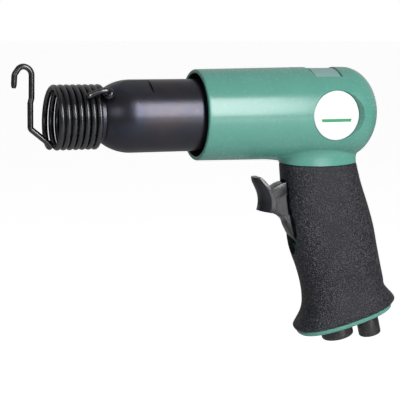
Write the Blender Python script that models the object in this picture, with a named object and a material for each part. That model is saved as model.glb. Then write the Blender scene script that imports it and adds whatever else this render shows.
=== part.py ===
"""Pneumatic rivet gun: a pistol-grip air hammer with a beehive retainer spring.

Every dimension is in millimetres in the tool frame, and the meshes are scaled to metres at the end.
Tool frame: x runs along the barrel from the housing's mouth towards the rear, z is up, y = 0 is the
middle plane, and z = 0 is the barrel's axis. The handle has a frame of its own: "down" is measured
along the leaning handle from the barrel's axis, and "back" square to it, towards the rear.
The stored origin is the middle of the whole tool's box.
"""
import math

import bmesh
import bpy
from mathutils import Matrix, Vector

MM = 0.001
GAP = 0.3  # clearance between pieces that touch on the real tool

# Whole tool: middle of its box in the tool frame
BOX_CENTRE = Vector((11.4, 0.0, -49.9))

# Barrel
BORE_RADIUS = 9.5
SHANK_RADIUS = 5.1
NOSE_RADIUS = 13.2
NOSE_FRONT = -69.0
NOSE_REAR = -50.0
OGIVE_RADIUS = 24.2
OGIVE_REAR = -35.0
BARREL_RADIUS = 18.7
BARREL_REAR = 50.0
BORE_FRONT = -44.0
FLAT_DISTANCE = 17.6
FLAT_REAR = -26.0
FLAT_ANGLE = math.radians(60)
EXHAUST_PORT_X = 12.0
EXHAUST_PORT_RADIUS = 2.4

# Housing
MOUTH_RADIUS = 23.7
BODY_RADIUS = 24.5
MOUTH_BORE = 21.65
THREAD_BORE = BARREL_RADIUS + GAP
THREAD_FRONT = 26.0
CAGE_BORE_REAR = 70.0
CHAMBER_RADIUS = 13.0
CHAMBER_REAR = 77.0
DOME_START = 84.0
DOME_LENGTH = 17.8
LABEL_X = 71.6
LABEL_POCKET_RADIUS = 13.2
LABEL_POCKET_TOP = 30.0
LABEL_POCKET_SPREAD = 3.4
LABEL_FLOOR = 20.2
LABEL_RADIUS = 12.9
LABEL_THICKNESS = 0.5
PLATE_FRONT = 62.3
PLATE_REAR = 77.5
PLATE_HALF_ANGLE = math.radians(35)
PLATE_FLOOR = 23.3

# Handle
HANDLE_LEAN = math.radians(14)
HANDLE_ROOT = Vector((64.3, 0.0, 0.0))
SLEEVE_WALL = 2.4
SQUARENESS = 2.35
# Outer stations of the grip: front x, front z, rear x, rear z, half width
GRIP_STATIONS = [
    (49.4, -27.0, 92.1, -26.6, 14.6),
    (50.4, -38.0, 95.4, -38.0, 14.8),
    (51.8, -51.0, 100.0, -50.5, 15.2),
    (53.8, -63.0, 103.7, -62.0, 15.4),
    (56.2, -74.0, 106.4, -74.0, 15.4),
    (60.6, -85.5, 108.9, -84.6, 15.2),
    (63.4, -95.0, 110.6, -91.4, 15.2),
    (64.6, -104.0, 111.4, -95.4, 15.6),
    (63.8, -110.0, 113.8, -98.4, 16.4),
    (61.0, -115.4, 117.0, -101.6, 17.2),
    (59.6, -118.0, 118.1, -103.7, 17.4),
    (60.6, -119.9, 116.9, -105.4, 16.8),
]
FLANGE_THICKNESS = 3.6
FLANGE_INSET = 0.8

# Places along the handle: "down" from the barrel's axis and "back" from the handle's axis
THROTTLE_DOWN = 46.0
INLET_BACK = -9.5
REGULATOR_BACK = 9.8
CROSS_PORT_DOWN = 88.0
BASE_DOWN = 118.0
TRIGGER_PIVOT = Vector((62.6, 0.0, -69.6))
TRIGGER_HALF_WEB = 4.2
TRIGGER_HALF_PAD = 6.7

# Retainer spring
WIRE_RADIUS = 1.475
COIL_RADIUS = 15.06
COIL_PITCH = 3.2
COIL_FIRST_TOP = -74.35
COIL_TILT = 0.4  # how far the coils' planes run back at the top and at the left side
COIL_FIRST_TURN = -0.47
COIL_LAST_TURN = 7.08
TAB_RADIUS = 18.4

DOWN = Vector((math.sin(HANDLE_LEAN), 0.0, -math.cos(HANDLE_LEAN)))
BACK = Vector((math.cos(HANDLE_LEAN), 0.0, math.sin(HANDLE_LEAN)))
X_AXIS = Vector((1.0, 0.0, 0.0))
Y_AXIS = Vector((0.0, 1.0, 0.0))
Z_AXIS = Vector((0.0, 0.0, 1.0))


def clear_scene():
    """Remove every object that a new file starts with."""
    for old in list(bpy.data.objects):
        bpy.data.objects.remove(old, do_unlink=True)


def material(name, colour, roughness, metallic=0.0):
    """A plain Principled material."""
    made = bpy.data.materials.new(name)
    made.use_nodes = True
    shader = made.node_tree.nodes["Principled BSDF"]
    shader.inputs["Base Color"].default_value = (*colour, 1.0)
    shader.inputs["Roughness"].default_value = roughness
    shader.inputs["Metallic"].default_value = metallic
    return made


def handle_point(down, back, y=0.0):
    """A point of the handle's frame, in the tool frame."""
    return HANDLE_ROOT + DOWN * down + BACK * back + Y_AXIS * y


def finish(name, bm, finish_material, pivot=None, cutter=False):
    """Turn a bmesh in the tool frame into an object whose origin is at the pivot, scaled to metres."""
    place = Vector(pivot) if pivot is not None else BOX_CENTRE
    bmesh.ops.translate(bm, vec=-place, verts=bm.verts)
    bmesh.ops.scale(bm, vec=(MM, MM, MM), verts=bm.verts)
    bmesh.ops.recalc_face_normals(bm, faces=bm.faces)
    mesh = bpy.data.meshes.new(name)
    bm.to_mesh(mesh)
    bm.free()
    mesh.shade_smooth()
    mesh.set_sharp_from_angle(angle=math.radians(35))
    made = bpy.data.objects.new(name, mesh)
    made.location = (place - BOX_CENTRE) * MM
    bpy.context.scene.collection.objects.link(made)
    if finish_material is not None:
        mesh.materials.append(finish_material)
    if cutter:
        made.hide_render = True
        made.display_type = "WIRE"
    return made


def axis_matrix(base, axis):
    """The matrix that stands local z on an axis through a base point."""
    turn = Z_AXIS.rotation_difference(Vector(axis).normalized()).to_matrix().to_4x4()
    return Matrix.Translation(Vector(base)) @ turn


def turned_bmesh(profile, base, axis, segments):
    """Spin a closed profile of (distance along the axis, radius) points into a solid."""
    bm = bmesh.new()
    corners = [bm.verts.new((radius, 0.0, along)) for along, radius in profile]
    edges = [bm.edges.new((a, b)) for a, b in zip(corners, corners[1:] + corners[:1])]
    bmesh.ops.spin(
        bm,
        geom=corners + edges,
        cent=(0.0, 0.0, 0.0),
        axis=(0.0, 0.0, 1.0),
        angle=2 * math.pi,
        steps=segments,
        use_merge=True,
    )
    bmesh.ops.remove_doubles(bm, verts=bm.verts, dist=1e-4)
    loose = [e for e in bm.edges if not e.link_faces]
    bmesh.ops.delete(bm, geom=loose, context="EDGES")
    bmesh.ops.transform(bm, matrix=axis_matrix(base, axis), verts=bm.verts)
    return bm


def turned(name, profile, base, axis, finish_material, segments=32, pivot=None, cutter=False):
    """A turned piece as an object."""
    bm = turned_bmesh(profile, base, axis, segments)
    return finish(name, bm, finish_material, pivot, cutter)


def rod_profile(start, end, radius, chamfer=0.0):
    """The profile of a round bar with chamfered ends."""
    if chamfer <= 0.0:
        return [(start, 0.0), (start, radius), (end, radius), (end, 0.0)]
    return [
        (start, 0.0),
        (start, radius - chamfer),
        (start + chamfer, radius),
        (end - chamfer, radius),
        (end, radius - chamfer),
        (end, 0.0),
    ]


def tube_profile(start, end, inner, outer):
    """The profile of a plain tube."""
    return [(start, inner), (start, outer), (end, outer), (end, inner)]


def ring_profile(middle, ring_radius, section_radius, sides=6):
    """The round section of an O-ring."""
    turns = [2 * math.pi * (i + 0.5) / sides for i in range(sides)]
    return [
        (middle + section_radius * math.cos(a), ring_radius + section_radius * math.sin(a))
        for a in turns
    ]


def loft_bmesh(rings, closed=False):
    """Skin a stack of rings of equal counts; a closed stack joins its last ring to its first."""
    bm = bmesh.new()
    rows = [[bm.verts.new(point) for point in ring] for ring in rings]
    pairs = list(zip(rows, rows[1:]))
    if closed:
        pairs.append((rows[-1], rows[0]))
    for upper, lower in pairs:
        count = len(upper)
        for i in range(count):
            j = (i + 1) % count
            bm.faces.new((upper[i], upper[j], lower[j], lower[i]))
    if not closed:
        bm.faces.new(rows[0])
        bm.faces.new(rows[-1])
    return bm


def extruded_bmesh(outline, half_width):
    """A plate: an (x, z) outline carried from -half_width to +half_width in y."""
    near = [Vector((x, -half_width, z)) for x, z in outline]
    far = [Vector((x, half_width, z)) for x, z in outline]
    return loft_bmesh([near, far])


def arc(centre, radius, start, end, steps):
    """Points along an arc in the xz plane, angles in radians from +x towards +z."""
    angles = [start + (end - start) * i / steps for i in range(steps + 1)]
    return [(centre[0] + radius * math.cos(a), centre[1] + radius * math.sin(a)) for a in angles]


def boolean(target, other, operation):
    """Add a Boolean to an object."""
    modifier = target.modifiers.new(f"{operation.lower()}_{other.name}", "BOOLEAN")
    modifier.operation = operation
    modifier.solver = "EXACT"
    modifier.object = other


def cut_with(target, *cutters):
    """Cut an object by each cutter."""
    for cutter in cutters:
        boolean(target, cutter, "DIFFERENCE")


def spline_points(points, step):
    """A smooth Catmull-Rom curve through points, read about every step."""
    padded = [points[0] * 2 - points[1], *points, points[-1] * 2 - points[-2]]
    found = []
    for before, start, end, after in zip(padded, padded[1:], padded[2:], padded[3:]):
        count = max(1, round((end - start).length / step))
        for i in range(count):
            u = i / count
            found.append(
                0.5
                * (
                    2 * start
                    + (end - before) * u
                    + (2 * before - 5 * start + 4 * end - after) * u**2
                    + (3 * start - before - 3 * end + after) * u**3
                )
            )
    found.append(points[-1])
    return found


def super_ring(front, rear, half_width, count=28, power=SQUARENESS):
    """A ring through a front and a rear (x, z) point that swells to half_width in y."""
    middle = (front + rear) / 2
    reach = (rear - front) / 2
    ring = []
    for i in range(count):
        angle = 2 * math.pi * i / count
        along = math.copysign(abs(math.cos(angle)) ** (2 / power), math.cos(angle))
        across = math.copysign(abs(math.sin(angle)) ** (2 / power), math.sin(angle))
        ring.append(Vector((middle.x + reach.x * along, half_width * across, middle.y + reach.y * along)))
    return ring


def grip_ring(station, inset=0.0, lift=0.0):
    """A station's ring, drawn in by an inset all round and lifted along the handle."""
    front = Vector((station[0], station[1]))
    rear = Vector((station[2], station[3]))
    inwards = (rear - front).normalized() * inset
    rise = -Vector((DOWN.x, DOWN.z)) * lift
    return super_ring(front + inwards + rise, rear - inwards + rise, station[4] - inset)


def make_housing(paint):
    """The cast housing: body, neck, handle core and base flange in one piece."""
    body_profile = [(0.0, 0.0), (0.0, MOUTH_RADIUS - 0.5), (0.6, MOUTH_RADIUS)]
    body_profile += [(60.0, BODY_RADIUS), (DOME_START, BODY_RADIUS)]
    for i in range(1, 8):
        angle = math.pi / 2 * i / 7
        body_profile.append((DOME_START + DOME_LENGTH * math.sin(angle), BODY_RADIUS * math.cos(angle)))
    body_profile[-1] = (DOME_START + DOME_LENGTH, 0.0)
    housing = turned("housing", body_profile, (0, 0, 0), X_AXIS, paint, segments=48)

    core_inset = SLEEVE_WALL + GAP
    top = GRIP_STATIONS[0]
    neck_rows = [
        (45.5, -8.0, 90.0, -8.0, 17.5),
        (45.8, -16.0, 91.4, -16.0, 16.6),
        (47.2, -22.0, 91.4, -22.0, 15.3),
    ]
    rings = [grip_ring(row) for row in neck_rows]
    rings.append(grip_ring(top, lift=GAP))
    rings.append(grip_ring(top, core_inset, lift=GAP))
    rings += [grip_ring(row, core_inset) for row in GRIP_STATIONS[1:7]]
    rings.append(grip_ring(GRIP_STATIONS[6], core_inset, lift=-10.0))
    flange = GRIP_STATIONS[-1]
    rings.append(grip_ring(flange, core_inset + 3.5, lift=-GAP))
    rings.append(grip_ring(flange, FLANGE_INSET, lift=-GAP))
    rings.append(grip_ring(flange, FLANGE_INSET + 0.1, lift=-FLANGE_THICKNESS + 0.9))
    rings.append(grip_ring(flange, FLANGE_INSET + 1.2, lift=-FLANGE_THICKNESS))
    handle = finish("handle_union", loft_bmesh(rings), None, cutter=True)
    boolean(housing, handle, "UNION")

    bore_profile = [(-2.0, 0.0), (-2.0, MOUTH_BORE), (THREAD_FRONT - 2.6, MOUTH_BORE)]
    bore_profile += [(THREAD_FRONT, THREAD_BORE), (CAGE_BORE_REAR, THREAD_BORE)]
    bore_profile += [(CAGE_BORE_REAR, CHAMBER_RADIUS), (CHAMBER_REAR, CHAMBER_RADIUS)]
    bore_profile.append((CHAMBER_REAR, 0.0))
    cut_with(housing, turned("bore_cutter", bore_profile, (0, 0, 0), X_AXIS, None, 36, cutter=True))

    for side, sign in (("left", -1.0), ("right", 1.0)):
        pocket = [(LABEL_FLOOR, 0.0), (LABEL_FLOOR, LABEL_POCKET_RADIUS)]
        pocket.append((LABEL_POCKET_TOP, LABEL_POCKET_RADIUS + LABEL_POCKET_SPREAD))
        pocket.append((LABEL_POCKET_TOP, 0.0))
        name = f"label_cutter_{side}"
        centre = (LABEL_X, 0.0, 0.0)
        cut_with(housing, turned(name, pocket, centre, Y_AXIS * sign, None, 28, cutter=True))

    plate = curved_plate_bmesh(PLATE_FRONT, PLATE_REAR, PLATE_HALF_ANGLE, PLATE_FLOOR, 26.0)
    cut_with(housing, finish("plate_cutter", plate, None, cutter=True))
    cut_with(housing, *handle_cutters(), *screw_cutters())
    return housing


def curved_plate_bmesh(front, rear, half_angle, inner, outer, steps=8):
    """A piece of a round shell about the barrel's axis, centred on the top."""
    angles = [-half_angle + 2 * half_angle * i / steps for i in range(steps + 1)]
    outline = [(inner * math.sin(a), inner * math.cos(a)) for a in angles]
    outline += [(outer * math.sin(a), outer * math.cos(a)) for a in reversed(angles)]
    return loft_bmesh([[Vector((x, y, z)) for y, z in outline] for x in (front, rear)])


def trigger_pocket_bmesh():
    """The pocket in the handle's front in which the trigger's web swings."""
    half = TRIGGER_HALF_WEB + GAP + 0.3
    corners = [(29.0, -40.0), (29.0, -13.4), (44.0, -12.8), (57.0, -15.0)]
    corners += [(73.0, -12.6), (73.0, -40.0)]
    outline = [(handle_point(down, back).x, handle_point(down, back).z) for down, back in corners]
    return extruded_bmesh(outline, half)


def drill(name, start, end, radius, segments=12):
    """A round cutter between two points."""
    start, end = Vector(start), Vector(end)
    profile = rod_profile(0.0, (end - start).length, radius)
    return turned(name, profile, start, end - start, None, segments, cutter=True)


def handle_cutters():
    """Bores, ports and the trigger pocket inside the handle."""
    pivot = TRIGGER_PIVOT
    low = BASE_DOWN + 8.0
    chamber_foot = Vector((73.5, 0.0, -9.0))
    return [
        finish("trigger_pocket_cutter", trigger_pocket_bmesh(), None, cutter=True),
        drill("pin_cutter", pivot - Y_AXIS * 20, pivot + Y_AXIS * 20, 1.5 + GAP),
        drill("stem_cutter", handle_point(THROTTLE_DOWN, -16), handle_point(THROTTLE_DOWN, -7), 2.1),
        drill("throttle_cutter", handle_point(THROTTLE_DOWN, -9), handle_point(THROTTLE_DOWN, 30), 4.9),
        drill("inlet_cutter", handle_point(low, INLET_BACK), handle_point(98, INLET_BACK), 8.3, 20),
        drill("strainer_cutter", handle_point(99, INLET_BACK), handle_point(83, INLET_BACK), 5.0),
        drill("cross_cutter", handle_point(CROSS_PORT_DOWN, -7), handle_point(CROSS_PORT_DOWN, 30), 2.2),
        drill("regulator_cutter", handle_point(low, REGULATOR_BACK), handle_point(82, REGULATOR_BACK), 4.3),
        drill("riser_cutter", handle_point(83, REGULATOR_BACK), handle_point(44.5, REGULATOR_BACK), 2.4),
        drill("feed_cutter", handle_point(THROTTLE_DOWN, -0.8), chamber_foot, 2.4),
        drill("regulator_pin_cutter", handle_point(104, 14.4, -20), handle_point(104, 14.4, 20), 1.3),
    ]


def screw_cutters():
    """The set screw's hole under the housing, in front of the neck."""
    return [drill("set_screw_cutter", (36.0, 0.0, -30.0), (36.0, 0.0, -18.0), 2.3)]


def barrel_profile():
    """The barrel's section: nose, ogive, straight body, piston bore and shank bore."""
    points = [(NOSE_FRONT, SHANK_RADIUS + 0.6), (NOSE_FRONT, NOSE_RADIUS - 0.8)]
    points += [(NOSE_FRONT + 0.8, NOSE_RADIUS), (NOSE_REAR, NOSE_RADIUS)]
    steps = 6
    for i in range(steps + 1):
        x = NOSE_REAR + (OGIVE_REAR - NOSE_REAR) * i / steps
        drop = OGIVE_RADIUS - math.sqrt(OGIVE_RADIUS**2 - (OGIVE_REAR - x) ** 2)
        points.append((x, BARREL_RADIUS - drop))
    points += [(BARREL_REAR - 0.6, BARREL_RADIUS), (BARREL_REAR, BARREL_RADIUS - 0.6)]
    points += [(BARREL_REAR, BORE_RADIUS), (BORE_FRONT, BORE_RADIUS)]
    points += [(BORE_FRONT - 4.0, SHANK_RADIUS), (NOSE_FRONT + 0.6, SHANK_RADIUS)]
    return points


def make_barrel(steel):
    """The barrel with its two spanner flats, exhaust ports and set screw dimple."""
    barrel = turned("barrel", barrel_profile(), (0, 0, 0), X_AXIS, steel, segments=36)
    for side, sign in (("upper", 1.0), ("lower", -1.0)):
        outwards = Vector((0.0, -math.cos(FLAT_ANGLE), math.sin(FLAT_ANGLE))) * sign
        length = FLAT_REAR - NOSE_FRONT + 2.0
        middle = outwards * (FLAT_DISTANCE + 5.0) + X_AXIS * (FLAT_REAR - length / 2)
        bm = bmesh.new()
        bmesh.ops.create_cube(bm, size=1.0)
        bmesh.ops.scale(bm, vec=(30.0, length, 10.0), verts=bm.verts)
        across = outwards.cross(X_AXIS)
        turn = Matrix((across, X_AXIS, outwards)).transposed().to_4x4()
        bmesh.ops.transform(bm, matrix=Matrix.Translation(middle) @ turn, verts=bm.verts)
        cut_with(barrel, finish(f"flat_cutter_{side}", bm, None, cutter=True))
    for name, axis in (("level", Y_AXIS), ("upright", Z_AXIS)):
        middle = X_AXIS * EXHAUST_PORT_X
        port = drill(f"port_cutter_{name}", middle - axis * 22, middle + axis * 22, EXHAUST_PORT_RADIUS, 10)
        cut_with(barrel, port)
    return barrel


def spring_path():
    """The retainer spring's centre line, from the hook's tip to the end of its rear tab."""
    hook = [(-94.0, 14.9), (-93.9, 19.2), (-92.8, 23.2), (-89.5, 25.4), (-85.9, 23.3)]
    hook += [(-84.6, 19.0), (-84.7, 13.5), (-85.6, 7.5), (-86.1, 0.5), (-86.0, -4.2)]
    hook += [(-84.2, -7.3), (-80.8, -9.9), (-77.2, -13.0)]
    path = spline_points([Vector((x, 0.0, z)) for x, z in hook], 2.2)

    def around(turn, x, radius):
        angle = 2 * math.pi * turn
        return Vector((x, -radius * math.sin(angle), radius * math.cos(angle)))

    def coil_x(turn):
        angle = 2 * math.pi * turn
        return COIL_FIRST_TOP + COIL_PITCH * turn + COIL_TILT * (math.sin(angle) + math.cos(angle))

    steps = 18
    count = round((COIL_LAST_TURN - COIL_FIRST_TURN) * steps)
    turns = [COIL_FIRST_TURN + i / steps for i in range(count + 1)]
    path += [around(turn, coil_x(turn), COIL_RADIUS) for turn in turns]
    # the rear tab climbs off the last coil, bends back on itself and lies forward over the coils
    rear = coil_x(COIL_LAST_TURN)
    tab = [
        around(0.110, rear + 0.4, COIL_RADIUS + 0.2),
        around(0.140, rear + 1.6, TAB_RADIUS - 1.5),
        around(0.139, rear + 2.6, TAB_RADIUS - 0.3),
        around(0.127, rear + 3.0, TAB_RADIUS + 0.3),
        around(0.114, rear + 1.6, TAB_RADIUS + 0.2),
        around(0.119, rear - 2.0, TAB_RADIUS),
        around(0.133, rear - 6.2, TAB_RADIUS),
        around(0.147, rear - 9.6, TAB_RADIUS),
    ]
    return path + spline_points(tab, 1.8)


def wire(name, path, radius, finish_material, resolution=1, pivot=None):
    """A round wire along a path, as a bevelled curve with closed ends."""
    place = Vector(pivot) if pivot is not None else BOX_CENTRE
    curve = bpy.data.curves.new(name, "CURVE")
    curve.dimensions = "3D"
    curve.bevel_depth = radius * MM
    curve.bevel_resolution = resolution
    curve.use_fill_caps = True
    spline = curve.splines.new("POLY")
    spline.points.add(len(path) - 1)
    for point, spot in zip(spline.points, path):
        point.co = (*((spot - place) * MM), 1.0)
    curve.materials.append(finish_material)
    made = bpy.data.objects.new(name, curve)
    made.location = (place - BOX_CENTRE) * MM
    bpy.context.scene.collection.objects.link(made)
    return made


def make_hammer(steel, bright, rubber):
    """Everything inside the housing's bore: piston, valve cage, valve, dowel, cushion and set screw."""
    piston_front = 21.5
    piston = [(piston_front, 0.0), (piston_front, 6.2), (piston_front + 1.2, 7.0), (piston_front + 7, 7.0)]
    piston += [(piston_front + 9, BORE_RADIUS - GAP), (48.2, BORE_RADIUS - GAP), (49.2, 8.0), (49.2, 0.0)]
    turned("piston", piston, (0, 0, 0), X_AXIS, bright, 20, pivot=(piston_front, 0, 0))

    cage_radius = THREAD_BORE - GAP
    front = [(50.3, 4.5), (50.3, cage_radius), (55.3, cage_radius), (55.3, 4.5)]
    rear = [(55.6, 12.4), (55.6, cage_radius), (67.0, cage_radius), (67.0, 4.0), (61.2, 4.0), (61.2, 12.4)]
    cages = [
        turned("valve_cage_front", front, (0, 0, 0), X_AXIS, steel, 28),
        turned("valve_cage_rear", rear, (0, 0, 0), X_AXIS, steel, 28),
    ]
    dowel_z = 15.6
    dowel_hole = drill("dowel_cutter", (49.0, 0.0, dowel_z), (64.0, 0.0, dowel_z), 1.5, 10)
    for cage in cages:
        cut_with(cage, dowel_hole)
    turned("valve_dowel", rod_profile(50.8, 63.6, 1.2, 0.3), (0, 0, dowel_z), X_AXIS, bright, 10)
    valve = [(57.2, 2.2), (57.2, 12.0), (59.2, 12.0), (59.2, 7.5), (60.4, 7.5), (60.4, 2.2)]
    turned("cycle_valve", valve, (0, 0, 0), X_AXIS, bright, 20, pivot=(57.2, 0, 0))
    cushion = tube_profile(67.3, 69.7, 14.0, cage_radius)
    turned("cage_cushion", cushion, (0, 0, 0), X_AXIS, rubber, 24)
    screw = rod_profile(19.1, 24.0, 2.0, 0.3)
    turned("barrel_set_screw", screw, (36.0, 0, 0), -Z_AXIS, steel, 12)


def make_labels(white, silver):
    """The round side labels and the curved plate on top."""
    for side, sign in (("left", -1.0), ("right", 1.0)):
        start = LABEL_FLOOR + GAP
        disc = rod_profile(start, start + LABEL_THICKNESS, LABEL_RADIUS)
        turned(f"side_label_{side}", disc, (LABEL_X, 0, 0), Y_AXIS * sign, white, 28)
    edge = 0.4
    half_angle = PLATE_HALF_ANGLE - math.radians(1.0)
    inner = PLATE_FLOOR + GAP
    plate = curved_plate_bmesh(PLATE_FRONT + edge, PLATE_REAR - edge, half_angle, inner, inner + 0.35)
    finish("top_label", plate, silver)


def pad_ring(front, back, half_width, steps=12):
    """A half-round ring: round at the front, flat at the back."""
    ring = []
    for i in range(steps + 1):
        angle = math.pi * i / steps - math.pi / 2
        share = math.cos(angle) ** 0.85
        x = back[0] + (front[0] - back[0]) * share
        z = back[1] + (front[1] - back[1]) * share
        ring.append(Vector((x, half_width * math.sin(angle), z)))
    return ring


def make_trigger(black):
    """The trigger: a half-round finger pad on a thin web that swings on the pin."""
    pad_rows = [
        ((32.6, -33.7), (36.6, -33.6), 4.6),
        ((33.2, -36.2), (39.6, -36.9), 6.0),
        ((34.6, -39.0), (41.8, -40.0), TRIGGER_HALF_PAD - 0.2),
        ((36.0, -42.0), (43.2, -43.2), TRIGGER_HALF_PAD),
        ((36.8, -45.6), (44.2, -46.8), TRIGGER_HALF_PAD),
        ((36.7, -49.0), (44.4, -50.2), TRIGGER_HALF_PAD),
        ((36.0, -51.7), (44.1, -53.1), TRIGGER_HALF_PAD - 0.2),
    ]
    pad = loft_bmesh([pad_ring(*row) for row in pad_rows])
    trigger = finish("trigger", pad, black, pivot=TRIGGER_PIVOT)
    boss_radius = 4.0
    outline = [(40.5, -38.5), (44.0, -39.4), (47.0, -37.7), (50.0, -36.7), (52.6, -36.9), (55.2, -40.4)]
    outline += [(58.4, -46.5), (58.9, -50.5), (60.0, -57.0), (65.0, -66.4)]
    outline += arc((TRIGGER_PIVOT.x, TRIGGER_PIVOT.z), boss_radius, math.radians(35), math.radians(-165), 12)
    outline += [(54.6, -65.4), (52.2, -60.9), (51.0, -57.4), (48.4, -55.3), (45.0, -53.9), (41.0, -52.0)]
    web = finish("web_union", extruded_bmesh(outline, TRIGGER_HALF_WEB), None, cutter=True)
    boolean(trigger, web, "UNION")
    for side, sign in (("left", -1.0), ("right", 1.0)):
        dish = rod_profile(TRIGGER_HALF_WEB - 0.7, 6.0, 5.6)
        name = f"dish_cutter_{side}"
        cut_with(trigger, turned(name, dish, (51.2, 0, -49.4), Y_AXIS * sign, None, 20, cutter=True))
    hole = drill("trigger_hole", TRIGGER_PIVOT - Y_AXIS * 8, TRIGGER_PIVOT + Y_AXIS * 8, 1.5 + GAP)
    cut_with(trigger, hole)


def make_throttle(steel, bright, brass, rubber):
    """The trigger's pin and the throttle valve behind it."""
    turned("trigger_pin", rod_profile(-7.4, 7.4, 1.5, 0.3), TRIGGER_PIVOT, Y_AXIS, bright, 12)
    base = handle_point(THROTTLE_DOWN, 0.0)
    stem = [(-16.5, 0.0), (-16.5, 1.1), (-16.1, 1.4), (4.3, 1.4), (4.3, 0.0)]
    turned("throttle_stem", stem, base, BACK, bright, 12, pivot=base)
    poppet = [(4.6, 0.0), (4.6, 2.4), (5.4, 3.4), (7.0, 3.4), (7.0, 1.6), (8.6, 1.6), (8.6, 0.0)]
    turned("throttle_poppet", poppet, base, BACK, rubber, 14, pivot=base)
    turned("throttle_bushing", tube_profile(-8.7, -4.3, 1.8, 4.6), base, BACK, brass, 14)
    turned("stem_o_ring", ring_profile(-3.1, 3.1, 0.9), base, BACK, rubber, 14)
    turned("throttle_seat", tube_profile(2.2, 4.2, 2.2, 4.6), base, BACK, brass, 14)
    plug = [(12.6, 3.2), (12.6, 4.6), (17.4, 4.6), (17.4, 0.0), (15.0, 0.0), (15.0, 3.2)]
    turned("throttle_plug", plug, base, BACK, steel, 14)
    coils = 4
    steps = 10
    start, end, radius, thickness = 7.75, 14.3, 2.55, 0.35
    path = []
    for i in range(coils * steps + 1):
        share = i / (coils * steps)
        angle = 2 * math.pi * coils * share
        across = Y_AXIS * math.cos(angle) + DOWN * math.sin(angle)
        path.append(base + BACK * (start + (end - start) * share) + across * radius)
    wire("throttle_spring", path, thickness, bright, resolution=0)
    cross = handle_point(CROSS_PORT_DOWN, 0.0)
    turned("cross_port_plug", rod_profile(14.4, 18.6, 1.9, 0.3), cross, BACK, brass, 10)


def make_inlet(black, brass, rubber):
    """The air inlet bushing with its strainer and seal."""
    base = handle_point(0.0, INLET_BACK)
    bushing = [(100.0, 4.2), (100.0, 7.6), (100.8, 8.0), (120.6, 8.0), (120.6, 8.9)]
    bushing += [(125.2, 8.9), (126.0, 8.1), (126.0, 6.6), (125.2, 6.0), (108.0, 5.6), (106.0, 4.2)]
    turned("inlet_bushing", bushing, base, DOWN, black, 24)
    strainer = [(85.0, 0.0), (85.0, 4.4), (98.4, 4.4), (98.4, 3.6), (85.8, 3.6), (85.8, 0.0)]
    turned("inlet_strainer", strainer, base, DOWN, brass, 14)
    turned("inlet_o_ring", ring_profile(99.0, 6.8, 0.6), base, DOWN, rubber, 16)


def make_regulator(black, steel, rubber):
    """The air regulator: a knob on a needle valve, its seal and its retaining pin."""
    base = handle_point(0.0, REGULATOR_BACK)
    valve = [(84.6, 0.0), (88.0, 1.7), (92.0, 1.9), (94.0, 4.0), (102.6, 4.0), (102.6, 3.0), (105.4, 3.0)]
    valve += [(105.4, 4.0), (109.4, 4.0), (109.4, 3.0), (111.6, 3.0), (111.6, 4.0)]
    valve += [(121.8, 4.0), (121.8, 6.2), (130.4, 6.2), (131.4, 5.2), (131.4, 0.0)]
    turned("regulator_valve", valve, base, DOWN, black, 20, pivot=base + DOWN * 120)
    turned("regulator_pin", rod_profile(-7.0, 7.0, 1.0, 0.2), handle_point(104, 14.4), Y_AXIS, steel, 12)
    turned("regulator_o_ring", ring_profile(110.5, 3.72, 0.4), base, DOWN, rubber, 14)


def make_sleeve(rubber):
    """The moulded grip that slides over the handle core, with its slot for the trigger."""
    outer = [grip_ring(row) for row in GRIP_STATIONS]
    inner = [grip_ring(row, SLEEVE_WALL) for row in GRIP_STATIONS[:7]]
    inner.append(grip_ring(GRIP_STATIONS[6], SLEEVE_WALL, lift=-10.0))
    inner.append(grip_ring(GRIP_STATIONS[-1], SLEEVE_WALL + 3.5))
    sleeve = finish("grip_sleeve", loft_bmesh(outer + inner[::-1], closed=True), rubber)
    corners = [(31.0, 4.8), (33.0, 5.4), (46.0, 5.6), (54.0, 7.4), (62.0, 7.2), (69.0, 4.8), (73.0, 1.8)]
    outline = corners + [(down, -y) for down, y in reversed(corners)]
    rows = [[handle_point(down, back, y) for down, y in outline] for back in (-45.0, -12.0)]
    cut_with(sleeve, finish("slot_cutter", loft_bmesh(rows), None, cutter=True))


def main():
    """Build every piece."""
    clear_scene()
    paint = material("green_paint", (0.14, 0.42, 0.33), 0.3)
    blued = material("blued_steel", (0.03, 0.03, 0.038), 0.35, 0.9)
    spring_black = material("black_spring_wire", (0.025, 0.025, 0.03), 0.4, 0.8)
    rubber_grip = material("grip_rubber", (0.045, 0.045, 0.055), 0.75)
    gloss_black = material("gloss_black", (0.03, 0.03, 0.035), 0.3)
    seal = material("seal_rubber", (0.02, 0.02, 0.02), 0.7)
    bright = material("ground_steel", (0.6, 0.6, 0.62), 0.25, 1.0)
    steel = material("plain_steel", (0.35, 0.35, 0.36), 0.4, 1.0)
    brass = material("brass", (0.6, 0.45, 0.2), 0.35, 1.0)
    white = material("white_label", (0.9, 0.9, 0.9), 0.4)
    silver = material("silver_label", (0.5, 0.6, 0.58), 0.35)

    make_housing(paint)
    make_barrel(blued)
    wire("retainer_spring", spring_path(), WIRE_RADIUS, spring_black, pivot=(NOSE_REAR, 0, 0))
    make_hammer(steel, bright, seal)
    make_labels(white, silver)
    make_trigger(gloss_black)
    make_throttle(steel, bright, brass, seal)
    make_inlet(gloss_black, brass, seal)
    make_regulator(gloss_black, bright, seal)
    make_sleeve(rubber_grip)


main()
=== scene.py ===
"""Looks of the pneumatic rivet gun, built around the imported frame.

Sizes are in millimetres in the tool's own frame: x runs along the barrel from the housing's mouth
towards the rear, z is up, y = 0 is the middle plane and z = 0 the barrel's axis. The frame says where
that origin lies. In the handle, "down" is measured along the lean and "back" square to it.
"""

import logging
import math
from collections.abc import Callable, Iterable, Sequence
from dataclasses import dataclass, field
from enum import Enum

import bmesh
import bpy
from mathutils import Matrix, Vector


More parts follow.
